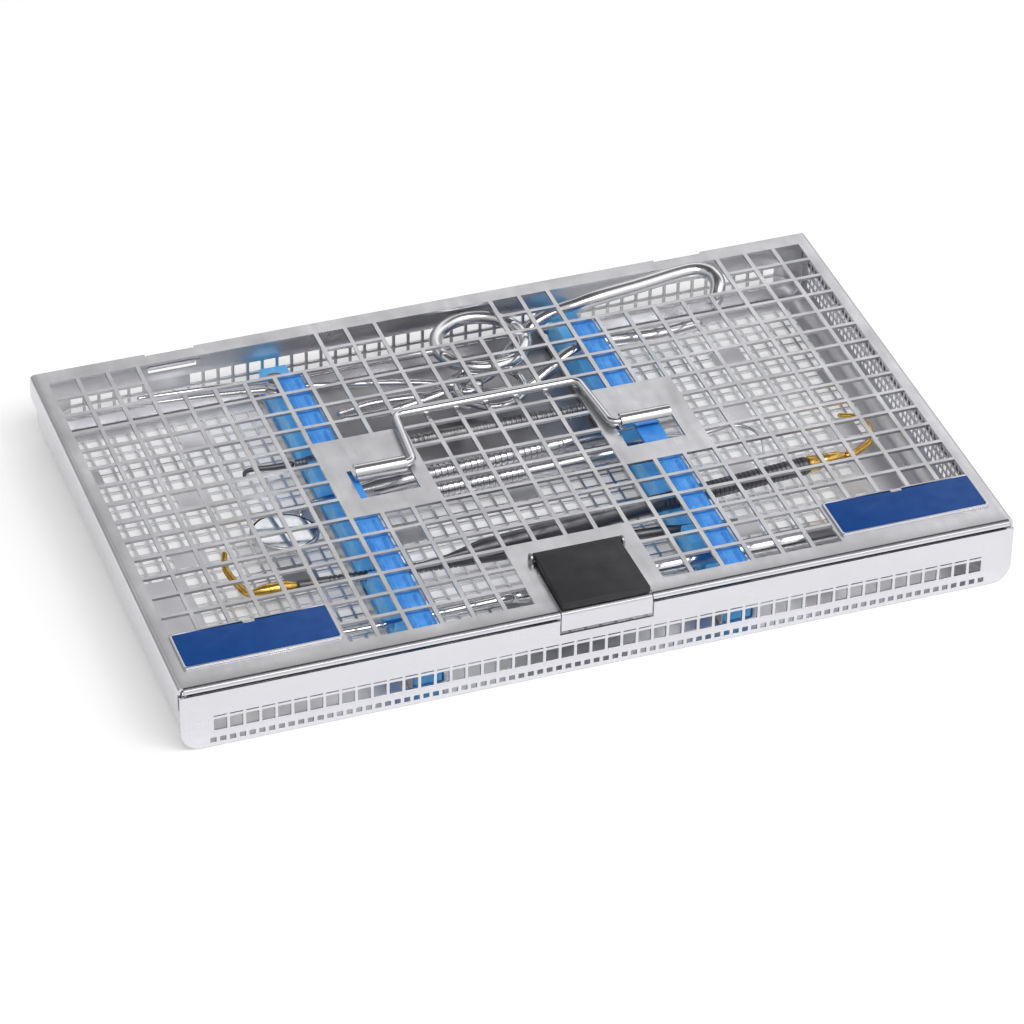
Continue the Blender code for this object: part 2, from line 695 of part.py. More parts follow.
def scaler(name, base, end, gold_length, hook, ring_from, ring_to, radius):
    """A handle, a gold ferrule and a hooked gold tip. base and end are the handle's two ends."""
    start = Vector(base)
    length = (Vector(end) - start).length
    profile = [(0, length), (0.0006, length), (0.0009, length - 0.012), (radius * 0.75, length - 0.020)]
    profile += [(radius, length - 0.024)] + grooved(radius, ring_to, ring_from, 4)
    profile += [(radius, ring_from - 0.0005), (radius, 0.001), (radius - 0.0004, 0), (0, 0)]
    turned(name + "_handle", profile, frame_along(base, end), DARK, 14)
    back = (start - Vector(end)).normalized()
    foot = start + back * GAP
    tip = foot + back * gold_length
    cone = [(0, gold_length), (0.0011, gold_length), (0.0022, gold_length * 0.8)]
    cone += [(0.0025, gold_length * 0.5), (radius * 0.9, 0.001), (radius * 0.8, 0), (0, 0)]
    turned(name + "_ferrule", cone, frame_along(foot, tip), GOLD, 14)
    near = [tip + back * 2 * GAP, tip + back * 0.0018]
    path = smooth_path([*near, *[Vector(point) for point in hook]], 4)
    wire(name + "_tip", path, (0.0011, 0.0007), GOLD)


def box_joint(half, name, center, low, high, radius, hole):
    """Adds the joint's disc to one half of a pair of forceps and drills it for the rivet."""
    x, y = center
    disc = cylinder(name + "_disc", (x, y, low), (x, y, high), radius, POLISHED, 20)
    combine(half, disc, "UNION")
    drill = cylinder(name + "_drill", (x, y, low - 0.002), (x, y, high + 0.002), hole, POLISHED, 12)
    combine(half, drill, "DIFFERENCE")
    return half


def finger_ring(name, center, radius, thickness):
    ring = [(*point, center[2]) for point in circle(center[:2], radius, 24)]
    return solid_wire(name, ring, thickness, POLISHED, 2, True)


def artery_forceps():
    """Two halves that cross at a riveted joint, one ending in a thick loop, one in a finger ring."""
    joint = (-0.060, 0.066)
    thick = 0.00125
    upper = 0.0189
    lower = 0.01555
    path_a = [(-0.0035, 0.0655), (-0.018, 0.0662), (-0.048, 0.0666), (*joint,), (-0.106, 0.0705)]
    path_b = [(-0.0027, 0.0492), (-0.018, 0.0560), (-0.048, 0.0640), (*joint,), (-0.106, 0.0716)]
    rings = [(0.0115, 0.0655, 0.0150, 0.0023), (0.0080, 0.0448, 0.0114, thick)]
    halves = []
    for name, path, z, ring in (("a", path_a, upper, rings[0]), ("b", path_b, lower, rings[1])):
        points = smooth_path([Vector((u, v, z)) for u, v in path], 4)
        half = solid_wire("artery_forceps_half_" + name, points, thick, POLISHED)
        x, y, radius, ring_thick = ring
        lift = (ring_thick - thick) * 0.4
        combine(half, finger_ring("artery_ring_" + name, (x, y, z + lift), radius, ring_thick), "UNION")
        halves.append(box_joint(half, "artery_" + name, joint, z - 0.0012, z + 0.0012, 0.0036, 0.0015))
    cylinder("artery_forceps_rivet", (*joint, lower - 0.0012), (*joint, upper + 0.0012), 0.0012,
             POLISHED, 12)
    return halves


def extraction_forceps():
    """Thick curved handles that cross at a riveted joint; one stands up through a lid window."""
    joint = (0.002, 0.0535)
    handle_a = [(-0.042, 0.0515, 0.0090), (-0.028, 0.0488, 0.0105), (-0.012, 0.0500, 0.0118)]
    handle_a += [(*joint, 0.0118), (0.014, 0.0590, 0.0116), (0.024, 0.0680, 0.0126)]
    handle_a += [(0.029, 0.0718, 0.0142), (0.034, 0.0743, 0.0166), (0.041, 0.0750, 0.0191)]
    handle_a += [(0.048, 0.0738, 0.0213)]
    handle_a += [(0.056, 0.0736, 0.0229), (0.0725, 0.0760, 0.0230), (0.0860, 0.0785, 0.0230)]
    handle_a += [(0.0935, 0.0786, 0.0230), (0.0976, 0.0753, 0.0229), (0.0982, 0.0700, 0.0222)]
    handle_a += [(0.0962, 0.0660, 0.0196), (0.0935, 0.0630, 0.0178)]
    handle_b = [(-0.042, 0.0556, 0.0085), (-0.028, 0.0585, 0.0080), (-0.012, 0.0572, 0.0078)]
    handle_b += [(*joint, 0.0078), (0.020, 0.0500, 0.0085), (0.031, 0.0518, 0.0128)]
    handle_b += [(0.040, 0.0540, 0.0168), (0.052, 0.0560, 0.0174), (0.070, 0.0545, 0.0172)]
    handle_b += [(0.0875, 0.0568, 0.0170)]
    halves = []
    for name, path, low, high in (("a", handle_a, 0.0100, 0.0136), ("b", handle_b, 0.0058, 0.0096)):
        points = smooth_path([Vector(point) for point in path], 3)
        half = solid_wire("extraction_forceps_half_" + name, points, (0.0012, 0.0029), POLISHED)
        halves.append(box_joint(half, "extraction_" + name, joint, low, high, 0.0060, 0.0023))
    cylinder("extraction_forceps_rivet", (*joint, 0.0060), (*joint, 0.0134), 0.0020, POLISHED, 14)
    return halves


def elevator():
    """A thick polished handle with a slim blade."""
    start = Vector((-0.020, -0.0595, 0.0105))
    end = Vector((0.090, -0.0600, 0.0105))
    length = (end - start).length
    profile = [(0, length), (0.0026, length), (0.0038, length - 0.003), (0.0040, length - 0.020)]
    profile += [(0.0034, 0.040), (0.0038, 0.012), (0.0026, 0.002), (0.0020, 0), (0, 0)]
    turned("elevator_handle", profile, frame_along(start, end), POLISHED)
    path = [(-0.0203, -0.0595, 0.0105), (-0.050, -0.0595, 0.0100), (-0.064, -0.0595, 0.0100)]
    path += [(-0.074, -0.0590, 0.0098), (-0.082, -0.0575, 0.0094)]
    points = smooth_path([Vector(point) for point in path], 4)
    wire("elevator_blade", points, (0.0017, 0.0009), POLISHED)


def probe():
    """A ringed handle with a thin tip bent into a sickle."""
    start = Vector((0.062, 0.0045, REST_Z))
    end = Vector((-0.044, 0.0022, REST_Z))
    length = (end - start).length
    profile = [(0, length), (0.0020, length), (0.0028, length - 0.0015)]
    profile += grooved(0.0028, 0.092, 0.060, 4) + [(0.0028, 0.0595), (0.0024, 0.050)]
    profile += [(0.0024, 0.040), (0.0028, 0.030), (0.0028, 0.008), (0.0015, 0.001), (0.0012, 0), (0, 0)]
    turned("probe_handle", profile, frame_along(start, end), POLISHED)
    path = [(0.0623, 0.0045, REST_Z), (0.070, 0.0052, REST_Z), (0.0785, 0.0062, REST_Z)]
    path += [(0.0842, 0.0025, REST_Z), (0.0852, -0.0040, REST_Z), (0.0826, -0.0126, REST_Z)]
    wire("probe_tip", smooth_path([Vector(point) for point in path], 4), (0.0011, 0.0003), POLISHED)


def curette():
    """A slim handle whose dark shank ends in a small hook."""
    start = Vector((-0.064, 0.0312, REST_Z))
    end = Vector((0.066, 0.0300, REST_Z))
    length = (end - start).length
    radius = 0.0024
    profile = [(0, length), (0.0008, length), (0.0010, length - 0.012), (radius, length - 0.020)]
    profile += grooved(radius, 0.100, 0.068, 4) + [(radius, 0.067)]
    profile += grooved(radius, 0.045, 0.018, 4) + [(radius, 0.012), (0.0014, 0.002), (0.0012, 0), (0, 0)]
    turned("curette_handle", profile, frame_along(start, end), DARK, 14)
    path = [(-0.0643, 0.0312, REST_Z), (-0.072, 0.0316, REST_Z), (-0.078, 0.0322, 0.0102)]
    path += [(-0.0812, 0.0308, 0.0106), (-0.0822, 0.0270, 0.0108)]
    wire("curette_tip", smooth_path([Vector(point) for point in path], 4), (0.0011, 0.0005), DARK)


# Assembly.

def build():
    tray_pan()
    front_wall()
    back_wall()
    hinge_pin("hinge_pin_left", -1)
    hinge_pin("hinge_pin_right", 1)
    slim = 0.0017
    left = [(0.0311, REST_Z, 0.0024), (0.0100, REST_Z, 0.0030), (-0.0320, 0.0090, slim)]
    left.append((-0.0595, 0.0100, slim))
    right = [(0.0302, REST_Z, 0.0024), (0.0156, REST_Z, 0.0030), (0.0042, REST_Z, 0.0028)]
    right += [(-0.0310, 0.0140, 0.0030), (-0.0405, 0.0090, 0.0016), (-0.0598, 0.0105, 0.0040)]
    rail("silicone_comb_left", -1, left)
    rail("silicone_comb_right", 1, right)
    rail_channel("comb_channel_left", -1)
    rail_channel("comb_channel_right", 1)

    mouth_mirror()
    left_hook = [(-0.1005, -0.0230, 0.0092), (-0.1017, -0.0160, 0.0100), (-0.1002, -0.0100, 0.0120)]
    scaler("left_scaler", (-0.0825, -0.0305, 0.0090), (0.062, -0.0417, 0.0090), 0.014, left_hook,
           0.010, 0.052, slim)
    right_hook = [(0.1090, -0.0255, 0.0136), (0.1160, -0.0215, 0.0140), (0.1185, -0.0155, 0.0146)]
    right_hook += [(0.1172, -0.0090, 0.0150), (0.1115, -0.0050, 0.0146)]
    scaler("right_scaler", (0.0915, -0.0273, 0.0140), (-0.047, -0.0385, 0.0140), 0.0135, right_hook,
           0.002, 0.052, 0.0030)
    artery = artery_forceps()
    extraction = extraction_forceps()
    elevator()
    probe()
    curette()
    attach([artery[1]], joint_empty("artery_forceps_axis", (-0.060, 0.066, 0.0170)))
    attach([extraction[1]], joint_empty("extraction_forceps_axis", (0.002, 0.0535, 0.010)))

    lid_axis = joint_empty("lid_axis", (0, HINGE_Y, HINGE_Z))
    lid = [lid_panel(), lid_strip("lid_strip_left", -1), lid_strip("lid_strip_right", 1)]
    lid += [label("label_left", -1), label("label_right", 1), latch_pin()]
    attach(lid, lid_axis)
    attach([handle_bail()], joint_empty("handle_axis", (0, 0, HANDLE_Z), lid_axis))
    latch = [latch_cover(), latch_hook()]
    latch += [latch_rivet("latch_rivet_left", -0.008), latch_rivet("latch_rivet_right", 0.008)]
    attach(latch, joint_empty("latch_axis", (0, LATCH_Y, LATCH_Z), lid_axis))

    for item in PARTS.objects:
        if item.type == "MESH":
            item.data.shade_smooth()
            item.data.set_sharp_from_angle(angle=math.radians(35))


build()
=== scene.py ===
"""Visual model of the closed instrument cassette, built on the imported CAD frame.

Shapes are described in millimetres. Camera, lights and materials use metres.
"""

import math

import bmesh
import bpy
from mathutils import Matrix, Vector


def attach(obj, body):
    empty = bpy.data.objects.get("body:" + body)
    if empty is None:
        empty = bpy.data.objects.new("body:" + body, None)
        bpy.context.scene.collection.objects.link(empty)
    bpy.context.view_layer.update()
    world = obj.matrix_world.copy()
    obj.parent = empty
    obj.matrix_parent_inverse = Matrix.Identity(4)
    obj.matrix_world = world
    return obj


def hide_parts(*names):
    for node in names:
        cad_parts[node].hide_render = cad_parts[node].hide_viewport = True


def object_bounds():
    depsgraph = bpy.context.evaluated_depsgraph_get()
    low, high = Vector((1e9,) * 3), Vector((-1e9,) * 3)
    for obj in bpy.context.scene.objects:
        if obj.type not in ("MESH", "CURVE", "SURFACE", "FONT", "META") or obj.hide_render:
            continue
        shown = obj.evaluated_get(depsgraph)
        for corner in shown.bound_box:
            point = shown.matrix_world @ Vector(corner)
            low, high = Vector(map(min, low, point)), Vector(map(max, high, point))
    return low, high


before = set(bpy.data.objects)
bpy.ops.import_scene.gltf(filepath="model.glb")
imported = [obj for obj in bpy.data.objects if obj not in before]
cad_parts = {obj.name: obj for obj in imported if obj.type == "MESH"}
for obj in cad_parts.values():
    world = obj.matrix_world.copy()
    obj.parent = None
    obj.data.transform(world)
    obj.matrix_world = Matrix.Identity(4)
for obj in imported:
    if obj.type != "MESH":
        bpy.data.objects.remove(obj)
cad_low, cad_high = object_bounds()

MM = 0.001
HALF_WIDTH = 137.5
HALF_DEPTH = 88.0
LID_TOP = 23.5
PITCH = 10.25
BAR = 1.4
GRID_Y = 0.6
SHEET = 0.9
STRAP = 0.8
GAP = 0.3
HINGE_Y, HINGE_Z = 86.05, 20.3
HANDLE_Z = 25.3
LATCH_Y, LATCH_Z = -59.9, 25.1
SIDES = ((-1, "left"), (1, "right"))
RAIL_X = {-1: -5.5 * PITCH, 1: 4.5 * PITCH}


# Camera, lights, world and floor.

CAMERA_PLACE = (-0.4244, -1.1749, 0.9171)
CAMERA_RIGHT = Vector((0.94342, -0.33139, 0.01197))
CAMERA_UP = Vector((0.18741, 0.56262, 0.80519))


def make_camera():
    data = bpy.data.cameras.new("camera")
    data.sensor_width = 36
    data.lens = 167.46
    data.clip_start = 0.1
    data.clip_end = 20
    camera = bpy.data.objects.new("camera", data)
    back = CAMERA_RIGHT.cross(CAMERA_UP).normalized()
    turn = Matrix((CAMERA_RIGHT, CAMERA_UP, back)).transposed().to_4x4()
    camera.matrix_world = Matrix.Translation(CAMERA_PLACE) @ turn
    bpy.context.scene.collection.objects.link(camera)
    bpy.context.scene.camera = camera


def area_light(name, location, target, size, power):
    data = bpy.data.lights.new(name, "AREA")
    data.shape = "RECTANGLE"
    data.size, data.size_y = size
    data.energy = power
    light = bpy.data.objects.new(name, data)
    light.location = location
    light.rotation_mode = "QUATERNION"
    light.rotation_quaternion = (Vector(target) - Vector(location)).to_track_quat("-Z", "Y")
    bpy.context.scene.collection.objects.link(light)


# Brightness of the dome by the sine of the elevation, behind and in front of the object.
BACK_SKY = [(0.0, 0.30), (0.16, 0.20), (0.34, 0.62), (0.48, 1.04), (0.60, 1.02), (0.68, 0.46),
            (0.78, 0.12), (1.0, 0.16)]
FRONT_SKY = [(0.0, 0.62), (0.25, 0.5), (0.50, 0.8), (0.74, 1.3), (0.86, 1.3), (0.94, 0.5), (1.0, 0.16)]


def map_range(tree, source, low, high, to_low, to_high, kind="LINEAR"):
    node = tree.nodes.new("ShaderNodeMapRange")
    node.interpolation_type = kind
    node.inputs["From Min"].default_value = low
    node.inputs["From Max"].default_value = high
    node.inputs["To Min"].default_value = to_low
    node.inputs["To Max"].default_value = to_high
    tree.links.new(source, node.inputs["Value"])
    return node.outputs[0]


def make_world():
    """A studio dome: a bright band low behind, another higher in front, brighter to the right."""
    world = bpy.data.worlds.new("studio")
    bpy.context.scene.world = world
    world.use_nodes = True
    tree = world.node_tree
    background = tree.nodes["Background"]
    place = tree.nodes.new("ShaderNodeTexCoord")
    split = tree.nodes.new("ShaderNodeSeparateXYZ")
    tree.links.new(place.outputs["Generated"], split.inputs[0])

    def ramp(stops):
        node = tree.nodes.new("ShaderNodeValToRGB")
        node.color_ramp.interpolation = "B_SPLINE"
        elements = node.color_ramp.elements
        while len(elements) < len(stops):
            elements.new(0.5)
        for element, (position, value) in zip(elements, stops):
            element.position = position
            element.color = (value, value, value * 1.01, 1)
        tree.links.new(split.outputs["Z"], node.inputs[0])
        return node.outputs[0]

    mix = tree.nodes.new("ShaderNodeMix")
    mix.data_type = "RGBA"
    behind = map_range(tree, split.outputs["Y"], -0.2, 0.2, 0, 1, "SMOOTHSTEP")
    strength = map_range(tree, split.outputs["X"], -0.1, 0.5, 0.78, 1.42, "SMOOTHSTEP")
    tree.links.new(behind, mix.inputs["Factor"])
    tree.links.new(ramp(FRONT_SKY), mix.inputs["A"])
    tree.links.new(ramp(BACK_SKY), mix.inputs["B"])
    tree.links.new(mix.outputs["Result"], background.inputs["Color"])
    tree.links.new(strength, background.inputs["Strength"])


def make_floor(material):
    mesh = bpy.data.meshes.new("floor")
    shape = bmesh.new()
    bmesh.ops.create_grid(shape, x_segments=1, y_segments=1, size=6)
    shape.to_mesh(mesh)
    shape.free()
    floor = bpy.data.objects.new("floor", mesh)
    floor.location.z = cad_low.z - 0.0002
    mesh.materials.append(material)
    bpy.context.scene.collection.objects.link(floor)


# Materials.

class Paint:
    """A Principled material and a few shorthands for its nodes."""

    def __init__(self, name, color, roughness, metallic=0.0):
        self.material = bpy.data.materials.new(name)
        self.material.use_nodes = True
        self.tree = self.material.node_tree
        self.shader = self.tree.nodes["Principled BSDF"]
        self.shader.inputs["Base Color"].default_value = (*color, 1)
        self.shader.inputs["Roughness"].default_value = roughness
        self.shader.inputs["Metallic"].default_value = metallic
        self.place = self.tree.nodes.new("ShaderNodeTexCoord")

    def link(self, source, target):
        self.tree.links.new(source, target)

    def noise(self, scale, stretch=(1, 1, 1), detail=4.0, roughness=0.5):
        """Noise in object space, whose scale is in cycles per metre."""
        mapping = self.tree.nodes.new("ShaderNodeMapping")
        mapping.inputs["Scale"].default_value = stretch
        noise = self.tree.nodes.new("ShaderNodeTexNoise")
        noise.inputs["Scale"].default_value = scale
        noise.inputs["Detail"].default_value = detail
        noise.inputs["Roughness"].default_value = roughness
        self.link(self.place.outputs["Object"], mapping.inputs[0])
        self.link(mapping.outputs[0], noise.inputs["Vector"])
        return noise.outputs["Fac"]

    def spread(self, source, *limits):
        return map_range(self.tree, source, *limits)

    def color(self, source, first, second):
        """Mixes the base colour from two."""
        node = self.tree.nodes.new("ShaderNodeMix")
        node.data_type = "RGBA"
        node.inputs["A"].default_value = (*first, 1)
        node.inputs["B"].default_value = (*second, 1)
        self.link(source, node.inputs["Factor"])
        self.link(node.outputs["Result"], self.shader.inputs["Base Color"])

    def roughness(self, source):
        self.link(source, self.shader.inputs["Roughness"])

    def bump(self, source, distance, strength=1.0, onto=None):
        node = self.tree.nodes.new("ShaderNodeBump")
        node.inputs["Strength"].default_value = strength
        node.inputs["Distance"].default_value = distance
        self.link(source, node.inputs["Height"])
        if onto:
            self.link(onto, node.inputs["Normal"])
        self.link(node.outputs[0], self.shader.inputs["Normal"])
        return node.outputs[0]


def steel(name, color, low, high, grain, grain_depth, shade=0.86, peel=0.0000015):
    """Stainless steel with a drawn grain along the stretch, cloudy polish and faint wipe marks."""
    paint = Paint(name, color, low, 1.0)
    cloud = paint.noise(55, detail=6, roughness=0.6)
    wipes = paint.noise(420, (1, 0.12, 1), detail=3)
    darker = tuple(value * shade for value in color)
    paint.color(paint.spread(cloud, 0.35, 0.7, 0, 1), color, darker)
    mixed = paint.tree.nodes.new("ShaderNodeMath")
    mixed.operation = "ADD"
    paint.link(paint.spread(cloud, 0.3, 0.7, low, high), mixed.inputs[0])
    paint.link(paint.spread(wipes, 0.45, 0.75, 0, (high - low) * 0.6), mixed.inputs[1])
    paint.roughness(mixed.outputs[0])
    lines = paint.bump(paint.noise(1400, grain, detail=3), grain_depth)
    paint.bump(paint.noise(700, detail=2), peel, onto=lines)
    return paint.material


def knurled(name, color):
    """Steel with a fine diamond knurl."""
    paint = Paint(name, color, 0.36, 1.0)
    cloud = paint.noise(300, detail=3)
    darker = tuple(value * 0.6 for value in color)
    paint.color(paint.spread(cloud, 0.3, 0.7, 0, 1), color, darker)
    paint.roughness(paint.spread(cloud, 0.3, 0.7, 0.28, 0.46))
    last = None
    for angle in (0.6, -0.6):
        wave = paint.tree.nodes.new("ShaderNodeTexWave")
        wave.inputs["Scale"].default_value = 420
        turn = paint.tree.nodes.new("ShaderNodeMapping")
        turn.inputs["Rotation"].default_value = (0, angle, angle)
        paint.link(paint.place.outputs["Object"], turn.inputs[0])
        paint.link(turn.outputs[0], wave.inputs["Vector"])
        last = paint.bump(wave.outputs["Fac"], 0.00006, 0.7, last)
    return paint.material


def gold(name):
    """Titanium nitride, the gold-coloured hard coating of the ferrules and tips."""
    paint = Paint(name, (0.83, 0.52, 0.13), 0.2, 1.0)
    cloud = paint.noise(350, detail=4)
    paint.color(paint.spread(cloud, 0.35, 0.65, 0, 1), (0.86, 0.56, 0.16), (0.62, 0.33, 0.06))
    paint.roughness(paint.spread(cloud, 0.3, 0.7, 0.15, 0.30))
    paint.bump(paint.noise(3000, (1, 0.2, 1), detail=2), 0.000004)
    return paint.material


def silicone(name, light, deep, glow):
    """Translucent silicone rubber, faintly clouded; glow stands for light that passes through it."""
    paint = Paint(name, light, 0.4)
    cloud = paint.noise(180, detail=5)
    paint.color(paint.spread(cloud, 0.35, 0.7, 0, 1), light, deep)
    paint.roughness(paint.spread(cloud, 0.3, 0.7, 0.30, 0.48))
    paint.shader.inputs["Subsurface Weight"].default_value = 0.25
    paint.shader.inputs["Subsurface Radius"].default_value = (0.0006, 0.0015, 0.003)
    paint.shader.inputs["Subsurface Scale"].default_value = 1.0
    paint.shader.inputs["Coat Weight"].default_value = 0.15
    paint.shader.inputs["Emission Color"].default_value = (*deep, 1)
    paint.shader.inputs["Emission Strength"].default_value = glow
    paint.bump(paint.noise(2400, detail=3), 0.000012)
    return paint.material


def label_paint(name):
    """Plain blue enamel."""
    paint = Paint(name, (0.004, 0.055, 0.24), 0.35)
    paint.shader.inputs["Specular IOR Level"].default_value = 0.15
    cloud = paint.noise(240, detail=5)
    paint.color(paint.spread(cloud, 0.35, 0.7, 0, 1), (0.004, 0.058, 0.25), (0.003, 0.050, 0.22))
    paint.roughness(paint.spread(cloud, 0.3, 0.7, 0.28, 0.42))
    paint.bump(paint.noise(5000, detail=2), 0.000003)
    return paint.material


def plastic(name):
    """Black moulded plastic with a fine spark-eroded grain."""
    paint = Paint(name, (0.030, 0.028, 0.031), 0.45)
    paint.shader.inputs["Specular IOR Level"].default_value = 0.25
    cloud = paint.noise(160, detail=5)
    paint.color(paint.spread(cloud, 0.3, 0.7, 0, 1), (0.034, 0.032, 0.036), (0.026, 0.024, 0.027))
    paint.roughness(paint.spread(cloud, 0.3, 0.7, 0.40, 0.55))
    paint.bump(paint.noise(3800, detail=3, roughness=0.7), 0.00002)
    return paint.material


def mirror_glass(name):
    """A front-coated mirror with a faint haze."""
    paint = Paint(name, (0.74, 0.76, 0.78), 0.05, 1.0)
    haze = paint.noise(260, detail=6, roughness=0.65)
    paint.roughness(paint.spread(haze, 0.45, 0.8, 0.05, 0.16))
    paint.color(paint.spread(haze, 0.4, 0.8, 0, 1), (0.74, 0.76, 0.78), (0.62, 0.65, 0.67))
    paint.shader.inputs["Coat Weight"].default_value = 0.1
    return paint.material


def floor_paint(name):
    paint = Paint(name, (0.93, 0.93, 0.93), 0.6)
    cloud = paint.noise(3, detail=3)
    paint.color(cloud, (0.935, 0.935, 0.935), (0.92, 0.92, 0.922))
    paint.shader.inputs["Emission Color"].default_value = (1, 1, 1, 1)
    paint.shader.inputs["Emission Strength"].default_value = 0.18
    return paint.material


SATIN = steel("satin_sheet", (0.66, 0.66, 0.68), 0.24, 0.36, (0.12, 1, 1), 0.000006)
WALL = steel("bright_wall", (0.68, 0.68, 0.71), 0.26, 0.31, (0.10, 1, 1), 0.000001, 0.97, 0.0)
PAN = steel("pan_sheet", (0.76, 0.76, 0.78), 0.26, 0.38, (0.12, 1, 1), 0.000005, 0.92)
# Darker steel used as painted shade: on the plain floor between the combs at the back, and on the latch
# ears under the cover.
SHADE_STEEL = steel("painted_shade_sheet", (0.36, 0.355, 0.37), 0.30, 0.40, (0.12, 1, 1), 0.000004, 0.9)
BRIGHT = steel("electropolished_wire", (0.74, 0.74, 0.76), 0.10, 0.18, (1, 1, 1), 0.000002)
FORGED = steel("forged_steel", (0.60, 0.60, 0.62), 0.12, 0.26, (1, 0.3, 1), 0.000006)
# Dark steel: the own colour of the dark scaler handles and curette hook. It is also painted shade on
# the lid's front fold, the latch flap, the latch pivot and the tray's front folds.
DARK = steel("dark_steel_and_painted_shade", (0.17, 0.17, 0.18), 0.30, 0.44, (1, 0.3, 1), 0.000008)
KNURL = knurled("knurled_grip", (0.36, 0.36, 0.37))
GOLD = gold("titanium_nitride")
BLUE = silicone("blue_silicone_rubber", (0.06, 0.33, 0.82), (0.03, 0.22, 0.68), 0.02)
# The comb's silicone is a lighter copy of the strips' one with a stronger glow. It stands partly for
# light through the rubber and partly is painted light lifting the shade it lies in under the lid.
COMB = silicone("blue_comb_rubber", (0.20, 0.56, 0.96), (0.10, 0.44, 0.88), 0.16)
LABEL = label_paint("label_enamel")
BLACK = plastic("black_moulded_plastic")
GLASS = mirror_glass("rhodium_mirror")


# Mesh helpers, in millimetres.

def piece(name, mesh, material, body, replaced=(), smooth=35):
    """Links a finished mesh as a piece that rides on a body."""
    mesh.materials.clear()
    mesh.materials.append(material)
    item = bpy.data.objects.new(name, mesh)
    bpy.context.scene.collection.objects.link(item)
    if smooth:
        mesh.shade_smooth()
        mesh.set_sharp_from_angle(angle=math.radians(smooth))
    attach(item, body)
    if replaced:
        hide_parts(*replaced)
    return item


def soften(item, width, segments=2, angle=40):
    """Rounds the sharp edges."""
    bevel = item.modifiers.new("soften", "BEVEL")
    bevel.width = width * MM
    bevel.segments = segments
    bevel.limit_method = "ANGLE"
    bevel.angle_limit = math.radians(angle)
    bevel.harden_normals = True
    return item


def paint_faces(item, material, chosen):
    """Gives another material to the faces whose middle, in millimetres, is chosen."""
    item.data.materials.append(material)
    for face in item.data.polygons:
        if chosen(face.center / MM):
            face.material_index = len(item.data.materials) - 1


def mesh_from(shape, name):
    mesh = bpy.data.meshes.new(name)
    bmesh.ops.recalc_face_normals(shape, faces=shape.faces)
    shape.to_mesh(mesh)
    shape.free()
    return mesh


def walk(distance, legs):
    """Where a strip is after this distance. legs are (length, turn in degrees) from heading 0."""
    u, v, heading = 0.0, 0.0, 0.0
    for length, turn in legs:
        part = min(distance, length)
        angle = math.radians(turn) * part / length
        if turn:
            radius = length / math.radians(turn)
            u += radius * (math.sin(heading + angle) - math.sin(heading))
            v -= radius * (math.cos(heading + angle) - math.cos(heading))
        else:
            u += part * math.cos(heading)
            v += part * math.sin(heading)
        heading += angle
        distance -= part
        if distance <= 0:
            break
    u += max(distance, 0) * math.cos(heading)
    v += max(distance, 0) * math.sin(heading)
    return u, v, heading


def folded(distance, offset, legs):
    """The point on a folded strip at this distance along it and offset to its left."""
    u, v, heading = walk(distance, legs)
    return u - offset * math.sin(heading), v + offset * math.cos(heading)


def lines(*groups):
    """Sorted, distinct grid lines."""
    result = []
    for value in sorted(v for group in groups for v in group):
        if not result or value - result[-1] > 1e-4:
            result.append(value)
    return result


def span(start, end, steps):
    return [start + (end - start) * i / steps for i in range(steps + 1)]


def punched(shape, s_lines, t_lines, is_solid, place):
    """Adds a sheet made of the solid cells of a grid; place(s, t, side) puts its two faces."""
    solid = set()
    for i, (s0, s1) in enumerate(zip(s_lines, s_lines[1:])):
        for j, (t0, t1) in enumerate(zip(t_lines, t_lines[1:])):
            if is_solid((s0 + s1) / 2, (t0 + t1) / 2):
                solid.add((i, j))
    verts = {}

    def vert(i, j, side):
        key = (i, j, side)
        if key not in verts:
            verts[key] = shape.verts.new([c * MM for c in place(s_lines[i], t_lines[j], side)])
        return verts[key]

    for i, j in sorted(solid):
        corners = [(i, j), (i + 1, j), (i + 1, j + 1), (i, j + 1)]
        shape.faces.new([vert(*corner, 0.5) for corner in corners])
        shape.faces.new([vert(*corner, -0.5) for corner in corners[::-1]])
        beyond = [(i, j - 1), (i + 1, j), (i, j + 1), (i - 1, j)]
        for a, b, cell in zip(corners, corners[1:] + corners[:1], beyond):
            if cell not in solid:
                ring = [vert(*b, 0.5), vert(*a, 0.5), vert(*a, -0.5), vert(*b, -0.5)]
                shape.faces.new(ring)
    return shape


